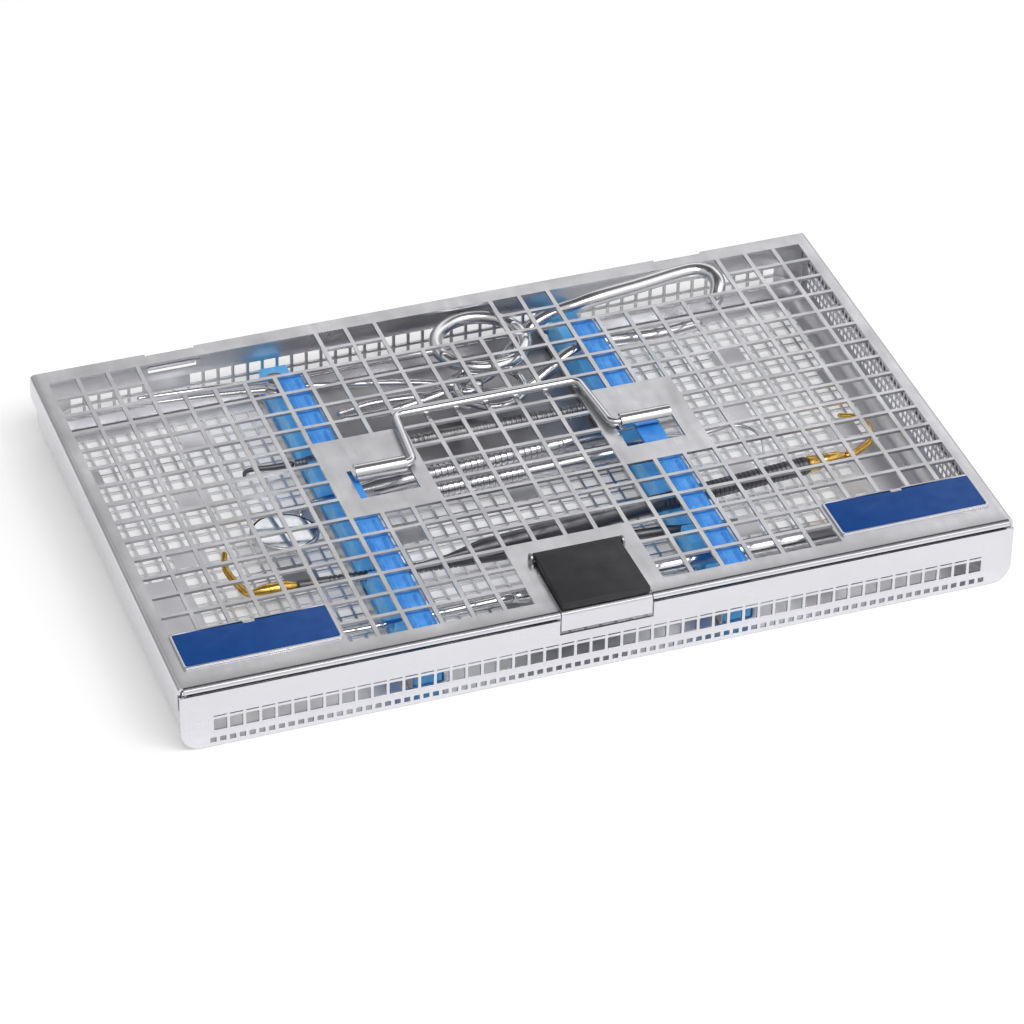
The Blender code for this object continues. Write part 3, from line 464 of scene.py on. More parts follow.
def plate(name, outlines, axis, low, high, edge, material, body, replaced=()):
    """A flat plate with rounded edges: outlines in its plane, the later ones holes."""
    curve = bpy.data.curves.new(name, "CURVE")
    curve.dimensions = "2D"
    curve.fill_mode = "BOTH"
    curve.extrude = ((high - low) / 2 - edge) * MM
    curve.bevel_depth = edge * MM
    curve.bevel_resolution = 1
    curve.offset = -edge * MM
    for outline in outlines:
        spline = curve.splines.new("POLY")
        spline.points.add(len(outline) - 1)
        for point, (u, v) in zip(spline.points, outline):
            point.co = (u * MM, v * MM, 0, 1)
        spline.use_cyclic_u = True
    helper = bpy.data.objects.new(name + "_outline", curve)
    bpy.context.scene.collection.objects.link(helper)
    bpy.context.view_layer.update()
    graph = bpy.context.evaluated_depsgraph_get()
    mesh = bpy.data.meshes.new_from_object(helper.evaluated_get(graph))
    bpy.data.objects.remove(helper)
    turn = {
        "X": Matrix(((0, 0, 1, 0), (1, 0, 0, 0), (0, 1, 0, 0), (0, 0, 0, 1))),
        "Y": Matrix(((1, 0, 0, 0), (0, 0, -1, 0), (0, 1, 0, 0), (0, 0, 0, 1))),
        "Z": Matrix.Identity(4),
    }[axis]
    shift = {"X": (1, 0, 0), "Y": (0, 1, 0), "Z": (0, 0, 1)}[axis]
    mesh.transform(Matrix.Translation(Vector(shift) * (low + high) / 2 * MM) @ turn)
    shape = bmesh.new()
    shape.from_mesh(mesh)
    bmesh.ops.remove_doubles(shape, verts=shape.verts, dist=1e-7)
    bmesh.ops.recalc_face_normals(shape, faces=shape.faces)
    shape.to_mesh(mesh)
    shape.free()
    return piece(name, mesh, material, body, replaced, 50)


def arc(center, radius, start, end, steps):
    turn = [math.radians(start + (end - start) * i / steps) for i in range(steps + 1)]
    return [(center[0] + radius * math.cos(a), center[1] + radius * math.sin(a)) for a in turn]


def rect(u0, u1, v0, v1, radius=0.0):
    """A rectangle, with rounded corners where radius is given."""
    if not radius:
        return [(u0, v0), (u1, v0), (u1, v1), (u0, v1)]
    r = radius
    corners = [(u0 + r, v0 + r, 180), (u1 - r, v0 + r, 270), (u1 - r, v1 - r, 0), (u0 + r, v1 - r, 90)]
    return [p for u, v, a in corners for p in arc((u, v), r, a, a + 90, 5)]


def smooth_path(points, steps=8):
    """Points on a smooth curve through the given ones, which may carry a radius after x, y, z."""
    chain = [Vector(p) for p in points]
    chain = [2 * chain[0] - chain[1], *chain, 2 * chain[-1] - chain[-2]]
    result = []
    for a, b, c, d in zip(chain, chain[1:], chain[2:], chain[3:]):
        for i in range(steps):
            t = i / steps
            bend = 2 * b + (c - a) * t + (2 * a - 5 * b + 4 * c - d) * t ** 2
            result.append((bend + (3 * b - a - 3 * c + d) * t ** 3) / 2)
    result.append(chain[-2])
    return result


def stitch(shape, rings, closed=False):
    """Skins a row of rings of vertices, with a cap at each end unless it is closed."""
    pairs = list(zip(rings, rings[1:]))
    if closed:
        pairs.append((rings[-1], rings[0]))
    for ring, following in pairs:
        for k in range(len(ring)):
            n = (k + 1) % len(ring)
            shape.faces.new([ring[k], ring[n], following[n], following[k]])
    if not closed:
        shape.faces.new(rings[0][::-1])
        shape.faces.new(rings[-1])
    return shape


def tube(shape, points, flat=1.0, sides=20, closed=False):
    """Adds a tube through points (x, y, z, radius); flat squeezes it upright."""
    places = [Vector(p[:3]) for p in points]
    count = len(places)
    rings = []
    for i, place in enumerate(places):
        before = places[(i - 1) % count] if closed or i else place
        after = places[(i + 1) % count] if closed or i < count - 1 else place
        along = (after - before).normalized()
        across = along.cross(Vector((0, 0, 1)))
        if across.length < 1e-3:
            across = along.cross(Vector((1, 0, 0)))
        across.normalize()
        rise = across.cross(along)
        ring = []
        for k in range(sides):
            a = 2 * math.pi * k / sides
            offset = across * math.cos(a) + rise * math.sin(a) * flat
            ring.append(shape.verts.new((place + offset * points[i][3]) * MM))
        rings.append(ring)
    return stitch(shape, rings, closed)


def rounded_ends(points, steps=4):
    """The same tube points with a dome at each end."""
    result = list(points)
    for end in (0, -1):
        tip, radius = Vector(result[end][:3]), result[end][3]
        inner = result[1 if end == 0 else -2]
        out = (tip - Vector(inner[:3])).normalized()
        dome = []
        for i in range(1, steps + 1):
            a = math.pi / 2 * i / steps
            place = tip + out * radius * (math.sin(a) - 1)
            dome.append((*place, max(radius * math.cos(a), radius * 0.05)))
        result[end] = (*(tip - out * radius), radius)
        result = dome[::-1] + result if end == 0 else result + dome
    return result


def lathe(shape, start, end, profile, sides=40):
    """Adds a turned solid from start to end; profile is (distance from start, radius) pairs."""
    start = Vector(start)
    way = (Vector(end) - start).normalized()
    turn = way.to_track_quat("Z", "Y").to_matrix()
    rings = []
    for distance, radius in profile:
        ring = []
        for k in range(sides):
            a = 2 * math.pi * k / sides
            local = Vector((math.cos(a) * radius, math.sin(a) * radius, distance))
            ring.append(shape.verts.new((start + turn @ local) * MM))
        rings.append(ring)
    return stitch(shape, rings)


def tube_piece(name, points, material, body, replaced=(), flat=1.0, sides=20):
    shape = tube(bmesh.new(), rounded_ends(points), flat, sides)
    return piece(name, mesh_from(shape, name), material, body, replaced, 60)


def lathe_piece(name, start, end, profile, material, replaced=(), sides=40, body="tray"):
    shape = lathe(bmesh.new(), start, end, profile, sides)
    return piece(name, mesh_from(shape, name), material, body, replaced, 32)


# The lid.

LID_BEND = 1.3
LID_FOLD = HALF_WIDTH - SHEET / 2 - LID_BEND
LIP_BEND = 1.1
LIP_FOLD = HALF_DEPTH - SHEET / 2 - LIP_BEND
LID_MID = LID_TOP - SHEET / 2
SLEEVE = (36.7, 53.7)
CUTOUT = (35.2, 55.2)
CUTOUT_Y = (-11.5, 3.8)
KNUCKLE = (82.0, 98.0)
KNUCKLE_START = 86.65
KNUCKLE_BEND = 0.9
KNUCKLE_DROP = 1.85
KNUCKLE_SLOT = 0.4
NOTCH_HALF = 15.3
NOTCH_BACK = -66.0
WINDOWS = ((-10, -4), (-2, 2), (4, 10))
WINDOW_ROW = 6
# Thickness of the rolled tongues and knuckles against the lid's own.
THINNED = 0.89

SIDE_LEGS = [(LID_BEND * math.pi / 2, -90), (6.75, 0)]
LIP_LEGS = [(LIP_BEND * math.pi / 2, -90), (0.15, 0)]
ROLL_LEGS = [(2.25 * math.radians(240), 240)]
KNUCKLE_LEGS = [(KNUCKLE_BEND * math.pi / 2, -90), (KNUCKLE_DROP, 0), (1.5 * math.radians(190), -190)]


def total(legs):
    return sum(length for length, _ in legs)


def lid_place(s, t, side):
    """Where a point of the flat sheet is once the sides, lip, tongues and knuckles are bent."""
    offset = side * SHEET
    sign = 1 if s > 0 else -1
    if t > KNUCKLE_START and KNUCKLE[0] - 0.01 < abs(s) < KNUCKLE[1] + 0.01:
        u, v = folded(t - KNUCKLE_START, offset * THINNED, KNUCKLE_LEGS)
        return s, KNUCKLE_START + u, LID_MID + v
    if -total(ROLL_LEGS) - 0.01 < t < 0 and SLEEVE[0] - 0.01 < abs(s) < SLEEVE[1] + 0.01:
        u, v = folded(-t, offset * THINNED, ROLL_LEGS)
        return s, -u, LID_MID + v
    if abs(s) > LID_FOLD:
        u, v = folded(abs(s) - LID_FOLD, offset, SIDE_LEGS)
        return sign * (LID_FOLD + u), t, LID_MID + v
    if t < -LIP_FOLD:
        u, v = folded(-t - LIP_FOLD, offset, LIP_LEGS)
        return s, -LIP_FOLD - u, LID_MID + v
    return s, t, LID_MID + offset


def in_opening(s, t):
    """Whether a point of the lid is in a square opening or in one of the windows along the back."""
    column = math.floor(s / PITCH)
    row = math.floor((t - GRID_Y) / PITCH)
    if not (-13 <= column < 13 and -8 <= row < 8):
        return False
    for first, last in WINDOWS:
        if row >= WINDOW_ROW and first * PITCH + BAR / 2 < s < last * PITCH - BAR / 2:
            return WINDOW_ROW * PITCH + BAR / 2 < t - GRID_Y < 8 * PITCH - BAR / 2
    across = column if column >= 0 else -column - 1
    if across in (3, 4, 5) and -2 <= row <= 1:
        return False
    if across in (0, 1) and row <= -6 or across >= 8 and row <= -7:
        return False
    return (BAR / 2 < s - column * PITCH < PITCH - BAR / 2
            and BAR / 2 < t - GRID_Y - row * PITCH < PITCH - BAR / 2)


def lid_is_solid(s, t):
    a = abs(s)
    if a > LID_FOLD:
        return -LIP_FOLD < t < HALF_DEPTH
    near_knuckle = KNUCKLE[0] - KNUCKLE_SLOT < a < KNUCKLE[1] + KNUCKLE_SLOT
    if near_knuckle and t > KNUCKLE_START - KNUCKLE_SLOT:
        return KNUCKLE[0] < a < KNUCKLE[1]
    if t > HALF_DEPTH or a < NOTCH_HALF and t < NOTCH_BACK:
        return False
    if CUTOUT[0] < a < CUTOUT[1] and CUTOUT_Y[0] < t < CUTOUT_Y[1]:
        return SLEEVE[0] < a < SLEEVE[1] and t > -total(ROLL_LEGS)
    return not in_opening(s, t)


def make_lid():
    s_lines = [k * PITCH + side * BAR / 2 for k in range(-13, 14) for side in (-1, 1)]
    t_lines = [k * PITCH + GRID_Y + side * BAR / 2 for k in range(-8, 9) for side in (-1, 1)]
    reach = total(SIDE_LEGS)
    special = [NOTCH_HALF, *CUTOUT, *SLEEVE, *KNUCKLE]
    special += [KNUCKLE[0] - KNUCKLE_SLOT, KNUCKLE[1] + KNUCKLE_SLOT]
    special += span(LID_FOLD, LID_FOLD + LID_BEND * math.pi / 2, 6) + [LID_FOLD + reach]
    bend = KNUCKLE_START + KNUCKLE_BEND * math.pi / 2
    far = KNUCKLE_START + total(KNUCKLE_LEGS)
    rear = span(KNUCKLE_START, bend, 5) + span(bend + KNUCKLE_DROP, far, 12)
    front = span(-LIP_FOLD - LIP_BEND * math.pi / 2, -LIP_FOLD, 6) + [-LIP_FOLD - total(LIP_LEGS)]
    other = [HALF_DEPTH, KNUCKLE_START - KNUCKLE_SLOT, NOTCH_BACK, *CUTOUT_Y]
    other += span(-total(ROLL_LEGS), 0, 20)
    s_all = lines(s_lines, special, [-v for v in special])
    t_all = lines(t_lines, rear, front, other)
    shape = punched(bmesh.new(), s_all, t_all, lid_is_solid, lid_place)
    lid = piece("lid_sheet", mesh_from(shape, "lid_sheet"), SATIN, "lid", ["lid_panel"])
    lip_y, lip_z = -LIP_FOLD - 0.2, 22.9
    paint_faces(lid, BRIGHT, lambda at: abs(at.y) < 2.8 and at.z > 23.55 and abs(at.x) < 60)
    # Painted shade: the upper bend of the front lip gets dark steel, as the dark line along the lid's
    # front fold.
    paint_faces(lid, DARK, lambda at: at.y < lip_y and at.z > lip_z)
    paint_faces(lid, WALL, lambda at: abs(at.x) > 137.2 or at.y < lip_y and at.z < lip_z)
    soften(lid, 0.16)


def make_latch_ears():
    """The lid's two ears that carry the latch, and the pin between them."""
    for sign, name in SIDES:
        outline = [(LATCH_Y - 1.9, 23.2), (LATCH_Y + 1.9, 23.2)]
        outline += arc((LATCH_Y, LATCH_Z - 0.4), 1.7, 0, 180, 12)
        low, high = sorted((sign * 14.8, sign * 15.6))
        # Painted shade: the ears get the darker steel, for the shade under the latch's cover.
        plate(f"latch_ear_{name}", [outline], "X", low, high, 0.12, SHADE_STEEL, "lid")
    profile = [(0, 0.45), (0.1, 0.65), (0.3, 0.75), (0.35, 0.6)]
    profile += [(31.4, 0.6), (31.5, 0.75), (31.7, 0.65), (31.8, 0.45)]
    shape = lathe(bmesh.new(), (-15.9, LATCH_Y, LATCH_Z), (15.9, LATCH_Y, LATCH_Z), profile, 24)
    # Painted shade: the pin is dark steel, for the same shade under the cover.
    piece("latch_pivot", mesh_from(shape, "latch_pivot"), DARK, "lid", ["latch_pin"])


def make_strip(name, side, node):
    """The silicone strip that fills one column of openings with faceted blocks."""
    shape = bmesh.new()
    center = RAIL_X[side]
    half = 3.95
    profile = [(-half, 22.3), (-2.3, 23.25), (0, 21.2), (2.3, 23.25), (half, 22.3)]
    profile += [(half, 20.6), (-half, 20.6)]
    for row in range(-8, WINDOW_ROW):
        if -2 <= row <= 1:
            continue
        y = (row + 0.5) * PITCH + GRID_Y
        rings = []
        for dy, drop in ((-half, 1.1), (-half + 1.5, 0), (half - 1.5, 0), (half, 1.1)):
            ring = []
            for u, v in profile:
                z = v - drop if v > 21.5 else v
                ring.append(shape.verts.new(((center + u) * MM, (y + dy) * MM, z * MM)))
            rings.append(ring)
        stitch(shape, rings)
    strip = piece(name, mesh_from(shape, name), BLUE, "lid", [node])
    soften(strip, 0.25, 2, 20)
    teeth = [(-80.8, 22.2), (63.1, 22.2)]
    for row in range(WINDOW_ROW, -8, -1):
        y = row * PITCH + GRID_Y + (1 if row == WINDOW_ROW else 0)
        teeth += [(y, 21.3), (y - PITCH / 2 + 0.6, 20.5), (y - PITCH / 2 - 0.6, 20.5)]
    teeth.append((-80.8, 21.3))
    plate(name + "_web", [teeth], "X", center - 4.1, center + 4.1, 0.2, BLUE, "lid")


def make_label(name, side, node):
    """A blue plate in a thin steel frame, with a small notch in the middle of its back edge."""
    middle = side * 10.5 * PITCH
    half, front, back, corner = 25.3, -78.4, -60.6, 0.8

    def outline(inset):
        u0, u1 = middle - half + inset, middle + half - inset
        v0, v1 = front + inset, back - inset
        points = arc((u0 + corner, v0 + corner), corner, 180, 270, 4)
        points += arc((u1 - corner, v0 + corner), corner, 270, 360, 4)
        points += arc((u1 - corner, v1 - corner), corner, 0, 90, 4)
        points += [(middle + 2, v1), (middle + 1.8, v1 - 0.9)]
        points += [(middle - 1.8, v1 - 0.9), (middle - 2, v1)]
        return points + arc((u0 + corner, v1 - corner), corner, 90, 180, 4)

    rim = [outline(0), outline(0.75)]
    plate(name + "_frame", rim, "Z", LID_TOP, 24.2, 0.12, WALL, "lid", [node])
    plate(name + "_face", [outline(0.7)], "Z", LID_TOP, 24.1, 0.05, LABEL, "lid")


# Handle and latch.

def make_handle():
    """The bail of bent wire, whose ends turn in the lid's rolled tongues."""
    inner, far, reach, end = 33.8, 31.6, 26.5, SLEEVE[1] - 0.5
    wire, radius = 1.4, 3.0
    corners = [(-end, 0), (-inner, 0), (-far, reach), (far, reach), (inner, 0), (end, 0)]
    path = [corners[0]]
    for before, corner, after in zip(corners, corners[1:], corners[2:]):
        back = (Vector(before) - Vector(corner)).normalized()
        ahead = (Vector(after) - Vector(corner)).normalized()
        half = back.angle(ahead) / 2
        center = Vector(corner) + (back + ahead).normalized() * radius / math.sin(half)
        first = Vector(corner) + back * radius / math.tan(half) - center
        side = 1 if back.x * ahead.y - back.y * ahead.x < 0 else -1
        for i in range(13):
            spin = Matrix.Rotation(side * (math.pi - 2 * half) * i / 12, 2)
            path.append(tuple(center + spin @ first))
    path.append(corners[-1])
    points = [(x, y, HANDLE_Z, wire) for x, y in path]
    tube_piece("bail_wire", points, BRIGHT, "handle", ["handle_bail"], sides=28)


def make_latch():
    """The black cover with its barrel, the hooked steel flap below it, and the two rivets."""
    front, back = -87.2, LATCH_Y + 0.4
    half, corner = 14.5, 1.6
    outline = [(-half, front + 0.4), (-half + 0.4, front), (half - 0.4, front), (half, front + 0.4)]
    outline += arc((half - 2.1, back - corner), corner, 0, 90, 5)
    outline += arc((1.9 - half, back - corner), corner, 90, 180, 5)
    plate("latch_lever", [outline], "Z", 23.8, 26.35, 0.45, BLACK, "latch",
          ["latch_cover"])
    barrel = [(0, 1.0), (0.25, 1.25), (28.75, 1.25), (29, 1.0)]
    lathe_piece("latch_barrel", (-half, LATCH_Y, LATCH_Z), (half, LATCH_Y, LATCH_Z), barrel, BLACK,
                body="latch")
    flat = 20.45
    bend = 1.1 * math.pi / 2
    legs = [(flat, 0), (bend, -90), (5.15, 0), (0.6 * math.pi / 2, -90), (1.4, 0)]

    def place(s, t, side):
        u, v = folded(t, side * SHEET, legs)
        return s, NOTCH_BACK - u, LID_MID + v

    ends = [0, flat, *span(flat, flat + bend, 6), 25.0]
    ends += span(total(legs[:3]), total(legs[:4]), 5) + [total(legs)]
    shape = punched(bmesh.new(), [-15, -8, 8, 15], lines(ends), lambda s, t: True, place)
    mesh = mesh_from(shape, "latch_flap")
    hook = piece("latch_flap", mesh, WALL, "latch", ["latch_hook"])
    # Painted shade: the flap's hooked lower end and the front of its upper bend are dark steel. They
    # stand for the shade under the flap and along the lid's front fold.
    paint_faces(hook, DARK, lambda at: at.z < 16.4 or at.y < -87.0 and at.z > 23.0)
    soften(hook, 0.13)
    for name, x in (("left", -8), ("right", 8)):
        profile = [(0, 1.3), (0.3, 1.75), (0.75, 1.9), (0.8, 1.0), (3.2, 1.0)]
        lathe_piece(f"rivet_{name}", (x, -75, 21.5), (x, -75, 25), profile, BRIGHT,
                    [f"latch_rivet_{name}"], 28, "latch")


# The tray.

TRAY_BEND = 6.05
TRAY_FOLD = 129.7
WALL_RISE = 15.7
TRAY_LEGS = [(TRAY_BEND * math.pi / 2, 90), (WALL_RISE, 0)]
TRAY_ENDS = [-86.8, 83.8]
SMALL = PITCH / 2
# Half the width of a floor hole, in small pitches.
HOLE_HALF = 0.415
PLAIN_FROM_Y = 28.0
FRONT_PITCH = 5.09


def tray_place(s, t, side):
    """Where a point of the flat sheet is once the side walls are bent up."""
    sign = 1 if s > 0 else -1
    if abs(s) <= TRAY_FOLD:
        return s, t, SHEET / 2 + side * SHEET
    u, v = folded(abs(s) - TRAY_FOLD, side * SHEET, TRAY_LEGS)
    return sign * (TRAY_FOLD + u), t, SHEET / 2 + v


def at_end(x, y):
    return abs(x) > 112 and -52 < y < -3


def between_combs(x, y):
    return RAIL_X[-1] < x < RAIL_X[1] and y > PLAIN_FROM_Y


def plain_patch(x, y):
    """Unpunched parts of the floor: near the ends, between the combs at the back, and single cells."""
    if at_end(x, y) or between_combs(x, y):
        return True
    column, row = math.floor(x / PITCH), math.floor((y - GRID_Y) / PITCH)
    return (2 * column + 3 * row) % 11 == 0


def floor_is_solid(s, t):
    if abs(s) > 24.5 * SMALL or not -78 < t < 78 or plain_patch(s, t):
        return True
    u = s / SMALL - math.floor(s / SMALL)
    v = (t - GRID_Y) / SMALL - math.floor((t - GRID_Y) / SMALL)
    return abs(u - 0.5) > HOLE_HALF or abs(v - 0.5) > HOLE_HALF


def make_tray():
    """Floor and side walls from one sheet; only the right wall is pierced."""
    holes_s = [(k + 0.5 + side * HOLE_HALF) * SMALL for k in range(-25, 25) for side in (-1, 1)]
    holes_t = [(k + 0.5 + side * HOLE_HALF) * SMALL for k in range(-16, 16) for side in (-1, 1)]
    holes_t = [value + GRID_Y for value in holes_t]
    bend = TRAY_FOLD + TRAY_BEND * math.pi / 2
    folds = span(TRAY_FOLD, bend, 10)
    s_all = lines(holes_s, folds, [-v for v in folds])
    t_all = lines(holes_t, TRAY_ENDS)
    shape = punched(bmesh.new(), s_all, t_all, floor_is_solid, tray_place)
    wall_pitch, wall_start, wall_half = 3.0, 1.5, 0.95
    wall_s = [k * wall_pitch + side * wall_half for k in range(5) for side in (-1, 1)]
    wall_s = [bend + wall_start + value for value in wall_s]
    wall_t = [k * wall_pitch + side * wall_half for k in range(-27, 27) for side in (-1, 1)]

    def wall_is_solid(s, t):
        u = (abs(s) - bend - wall_start) / wall_pitch
        v = t / wall_pitch
        inside = s > 0 and -0.4 < u < 4.4 and -27.4 < v < 26.4
        return not (inside and abs(u - round(u)) < 0.31 and abs(v - round(v)) < 0.31)

    for sign in (-1, 1):
        s_all = lines([sign * v for v in [bend, *wall_s, bend + WALL_RISE]])
        punched(shape, s_all, lines(wall_t, TRAY_ENDS), wall_is_solid, tray_place)
    tray = piece("tray_sheet", mesh_from(shape, "tray_sheet"), PAN, "tray", ["tray_pan"])
    # Painted shade and painted reflection: the plain floor between the combs at the back gets the
    # darker steel. It stands for the shade there and the mirrored, shaded underside of the lid.
    paint_faces(tray, SHADE_STEEL, lambda at: between_combs(at.x, at.y) and at.z > 0.5)
    paint_faces(tray, WALL, lambda at: at_end(at.x, at.y) and 0.5 < at.z < 1.2)
    soften(tray, 0.10, 1)


def wall_outline(half, top, notches=()):
    """A wall plate with round lower corners. notches are (low x, high x, bottom) from the right."""
    radius = 7.0
    points = arc((-half + radius, radius), radius, 180, 270, 10)
    points += arc((half - radius, radius), radius, 270, 360, 10) + [(half, top)]
    for low, high, bottom in notches:
        points += [(high, top), (high, bottom), (low, bottom), (low, top)]
    return points + [(-half, top)]


def make_walls():
    """The pierced front and back plates, and the tray's half of the hinges."""
    outline = wall_outline(137.3, 20.6, [(-15.4, 15.4, 15.0)])
    middles = [(k + 0.5) * FRONT_PITCH for k in range(-25, 25)]
    holes = [rect(x - 2.05, x + 2.05, 6.0, 10.3, 0.3) for x in middles]
    holes += [rect(x - 2.05, x + 2.05, 11.2, 11.65) for x in middles]
    holes += [rect(k * 3.1 - 0.95, k * 3.1 + 0.95, 1.5, 3.3, 0.2) for k in range(-41, 42)]
    plate("front_panel", [outline, *holes], "Y", -HALF_DEPTH, -87.1, 0.1, WALL, "tray",
          ["front_wall"])
    # Inward folds along the top of the front wall, under the lid's lip. Their dark steel is painted
    # shade for the crevice between them and the lid.
    for name, low, high in (("left", -134.6, -15.9), ("right", 15.9, 134.6)):
        fold = rect(low, high, -87.4, -81.5, 0.6)
        plate("front_fold_" + name, [fold], "Z", 19.5, 20.4, 0.12, DARK, "tray")
    notches = [(80, 100, 17.8), (-100, -80, 17.8)]
    outline = wall_outline(136.2, 22.2, notches)
    holes = []
    for k in range(-24, 25):
        for low in (5.9, 11.0):
            if low > 8 and -102 < k * SMALL < -82:
                continue
            holes.append(rect(k * SMALL - 2.05, k * SMALL + 2.05, low, low + 4.1, 0.3))
    plate("rear_panel", [outline, *holes], "Y", 84.1, 85.0, 0.1, SATIN, "tray",
          ["back_wall"])
    stem = 4.0
    legs = [(stem, 0), (1.5 * math.radians(260), -260)]
    for side, name in SIDES:
        for end in (-1, 1):
            center = side * 90 + end * 12.3

            def place(s, t, w):
                u, v = folded(t, w * STRAP, legs)
                return s, 84.55 - v, 16.3 + u

            t_all = lines([0, stem], span(stem, total(legs), 18))
            shape = punched(bmesh.new(), [center - 4, center + 4], t_all, lambda s, t: True, place)
            knuckle = f"hinge_knuckle_{name}_" + ("outer" if end == side else "inner")
            strap = piece(knuckle, mesh_from(shape, knuckle), SATIN, "tray")
            soften(strap, 0.1)
        low = side * 90 - 16.3
        profile = [(0, 0.5), (0.25, 0.75), (32.35, 0.75), (32.6, 0.5)]
        lathe_piece(f"hinge_rod_{name}", (low, HINGE_Y, HINGE_Z), (low + 1, HINGE_Y, HINGE_Z), profile,
                    BRIGHT, [f"hinge_pin_{name}"], 24)


COMB_HALF = 4.7
SLIM = 1.7
# The instruments that lie across each comb, as (y, z, radius) where they cross it.
LEFT_RESTS = [(31.1, 10, 2.4), (10.0, 10, 3.0), (-32.0, 9.0, SLIM), (-59.5, 10.0, SLIM)]
RIGHT_RESTS = [(30.2, 10, 2.4), (15.6, 10, 3.0), (4.2, 10, 2.8), (-31.0, 14.0, 3.0)]
RIGHT_RESTS += [(-40.5, 9.0, 1.6), (-59.8, 10.5, 4.0)]


def make_comb(name, side, node, rests):
    """The silicone comb: notches for the instruments and plain teeth between them."""
    center = RAIL_X[side]
    back, front, foot, top, step, step_y = 81.5, -82.0, 2.3, 13.0, 14.0, 46.0
    points = [(back, foot), (back, step - 0.6), (back - 0.6, step), (step_y, step), (step_y - 1, top)]
    for y, z, radius in sorted(rests, reverse=True):
        bottom = z - radius - GAP
        points += [(y + radius + 2.0, top), (y + radius + 0.9, bottom + 0.5)]
        points += [(y + radius + GAP, bottom), (y - radius - GAP, bottom)]
        points += [(y - radius - 0.9, bottom + 0.5), (y - radius - 2.0, top)]
    points += [(front, top), (front, foot)]
    low, high = center - COMB_HALF, center + COMB_HALF
    plate(name, [points], "X", low, high, 0.35, COMB, "tray", [node])


def make_channel(name, side, node):
    """The steel channel that carries a comb."""
    half = COMB_HALF + GAP + STRAP / 2
    rise = 4.0
    bend = 0.5 * math.pi / 2
    legs = [(rise, 0), (bend, 90), (2 * half - 1.0, 0), (bend, 90), (rise, 0)]

    def place(s, t, w):
        u, v = folded(s, w * STRAP, legs)
        return RAIL_X[side] - half + v, t, 5.8 - u

    stops = [0, rise]
    stops += span(rise, rise + bend, 4) + span(total(legs[:3]), total(legs[:4]), 4)
    shape = punched(bmesh.new(), lines(stops, [total(legs)]), [-82.5, 82.0], lambda s, t: True, place)
    channel = piece(name, mesh_from(shape, name), SATIN, "tray", [node])
    soften(channel, 0.1)


# The instruments.

def ribs(start, end, radius, pitch, depth):
    """Grip rings between two distances along a handle."""
    count = max(1, round((end - start) / pitch))
    step = (end - start) / count
    profile = []
    for i in range(count):
        at = start + i * step
        profile += [(at, radius - depth), (at + step * 0.18, radius - depth), (at + step * 0.3, radius)]
        profile += [(at + step * 0.82, radius), (at + step * 0.94, radius - depth)]
    return profile


def make_mirror():
    """The mouth mirror: ribbed handle, bent stem, round cup and the glass in it."""
    start, end = Vector((-52, 10.0, 10)), Vector((68, 16.8, 10))
    length = (end - start).length
    profile = [(0, 1.5), (0.4, 1.7), (2, 1.95), (8, 2.7), (10, 2.95)]
    profile += ribs(22, 66, 3.0, 2.05, 0.42)
    profile += [(66.5, 3.0), (72, 3.0), (72.4, 2.6), (73.6, 2.6), (74, 3.0), (length - 1.2, 3.0)]
    profile += [(length - 0.4, 2.6), (length, 1.8)]
    lathe_piece("mouth_mirror_grip", start, end, profile, FORGED, ["mirror_handle"])
    center = Vector((-78.5, -4.0, 9.8))
    tilt = Matrix.Rotation(math.radians(-6), 3, Vector((0.75, -0.66, 0)))
    up = tilt @ Vector((0, 0, 1))
    cup = [(0, 9.6), (0.35, 10.5), (0.9, 11.0), (1.6, 11.2), (2.6, 11.2), (2.8, 11.0)]
    cup += [(2.8, 10.5), (1.7, 10.35)]
    lathe_piece("mouth_mirror_cup", center - up * 1.6, center + up, cup, FORGED,
                ["mirror_cup"], 72)
    disc = [(0, 9.9), (0.1, 10.1), (0.7, 10.1), (0.85, 9.9)]
    lathe_piece("mouth_mirror_glass", center + up * 0.25, center + up * 2, disc, GLASS,
                ["mirror_glass"], 72)
    along = (start - end).normalized()
    toward = Vector((0.66, 0.75, 0)).normalized()
    touch = center + tilt @ (toward * 11.4)
    points = [(*(start + along * 0.3), 1.45), (*(start + along * 5.5), 1.2)]
    points += [(*(touch + Vector((4.5, 4.8, 0.8))), 0.95), (*touch, 0.85)]
    tube_piece("mouth_mirror_stem", smooth_path(points), BRIGHT, "tray",
               ["mirror_stem"])


def make_scaler(name, base, end, gold_length, hook, ring_from, ring_to, radius):
    """A dark ringed handle with a gold ferrule and a gold hooked tip at its base."""
    start, end = Vector(base), Vector(end)
    length = (end - start).length
    profile = [(0, radius - 0.4), (0.6, radius), (ring_from, radius)]
    profile += ribs(ring_from, ring_to, radius, 1.6, 0.28)
    profile += [(ring_to + 0.5, radius), (length - 24, radius), (length - 20, radius * 0.75)]
    profile += [(length - 12, 0.9), (length, 0.5)]
    lathe_piece(name + "_grip", start, end, profile, DARK, [name + "_handle"], 32)
    back = (start - end).normalized()
    foot = start + back * 0.3
    cone = [(0, radius * 0.85), (0.5, radius * 0.95), (gold_length * 0.3, 2.5)]
    cone += [(gold_length * 0.34, 2.2), (gold_length * 0.4, 2.4), (gold_length * 0.8, 2.0)]
    cone.append((gold_length, 1.0))
    lathe_piece(name + "_collar", foot, foot + back, cone, GOLD,
                [name + "_ferrule"], 32)
    tip = foot + back * gold_length
    chain = [(*tip, 1.2), (*(tip + back * 1.8), 1.4)]
    for i, point in enumerate(hook):
        chain.append((*point, 1.4 - 0.5 * (i + 1) / len(hook)))
    tube_piece(name + "_hook", smooth_path(chain), GOLD, "tray",
               [name + "_tip"], 0.8)


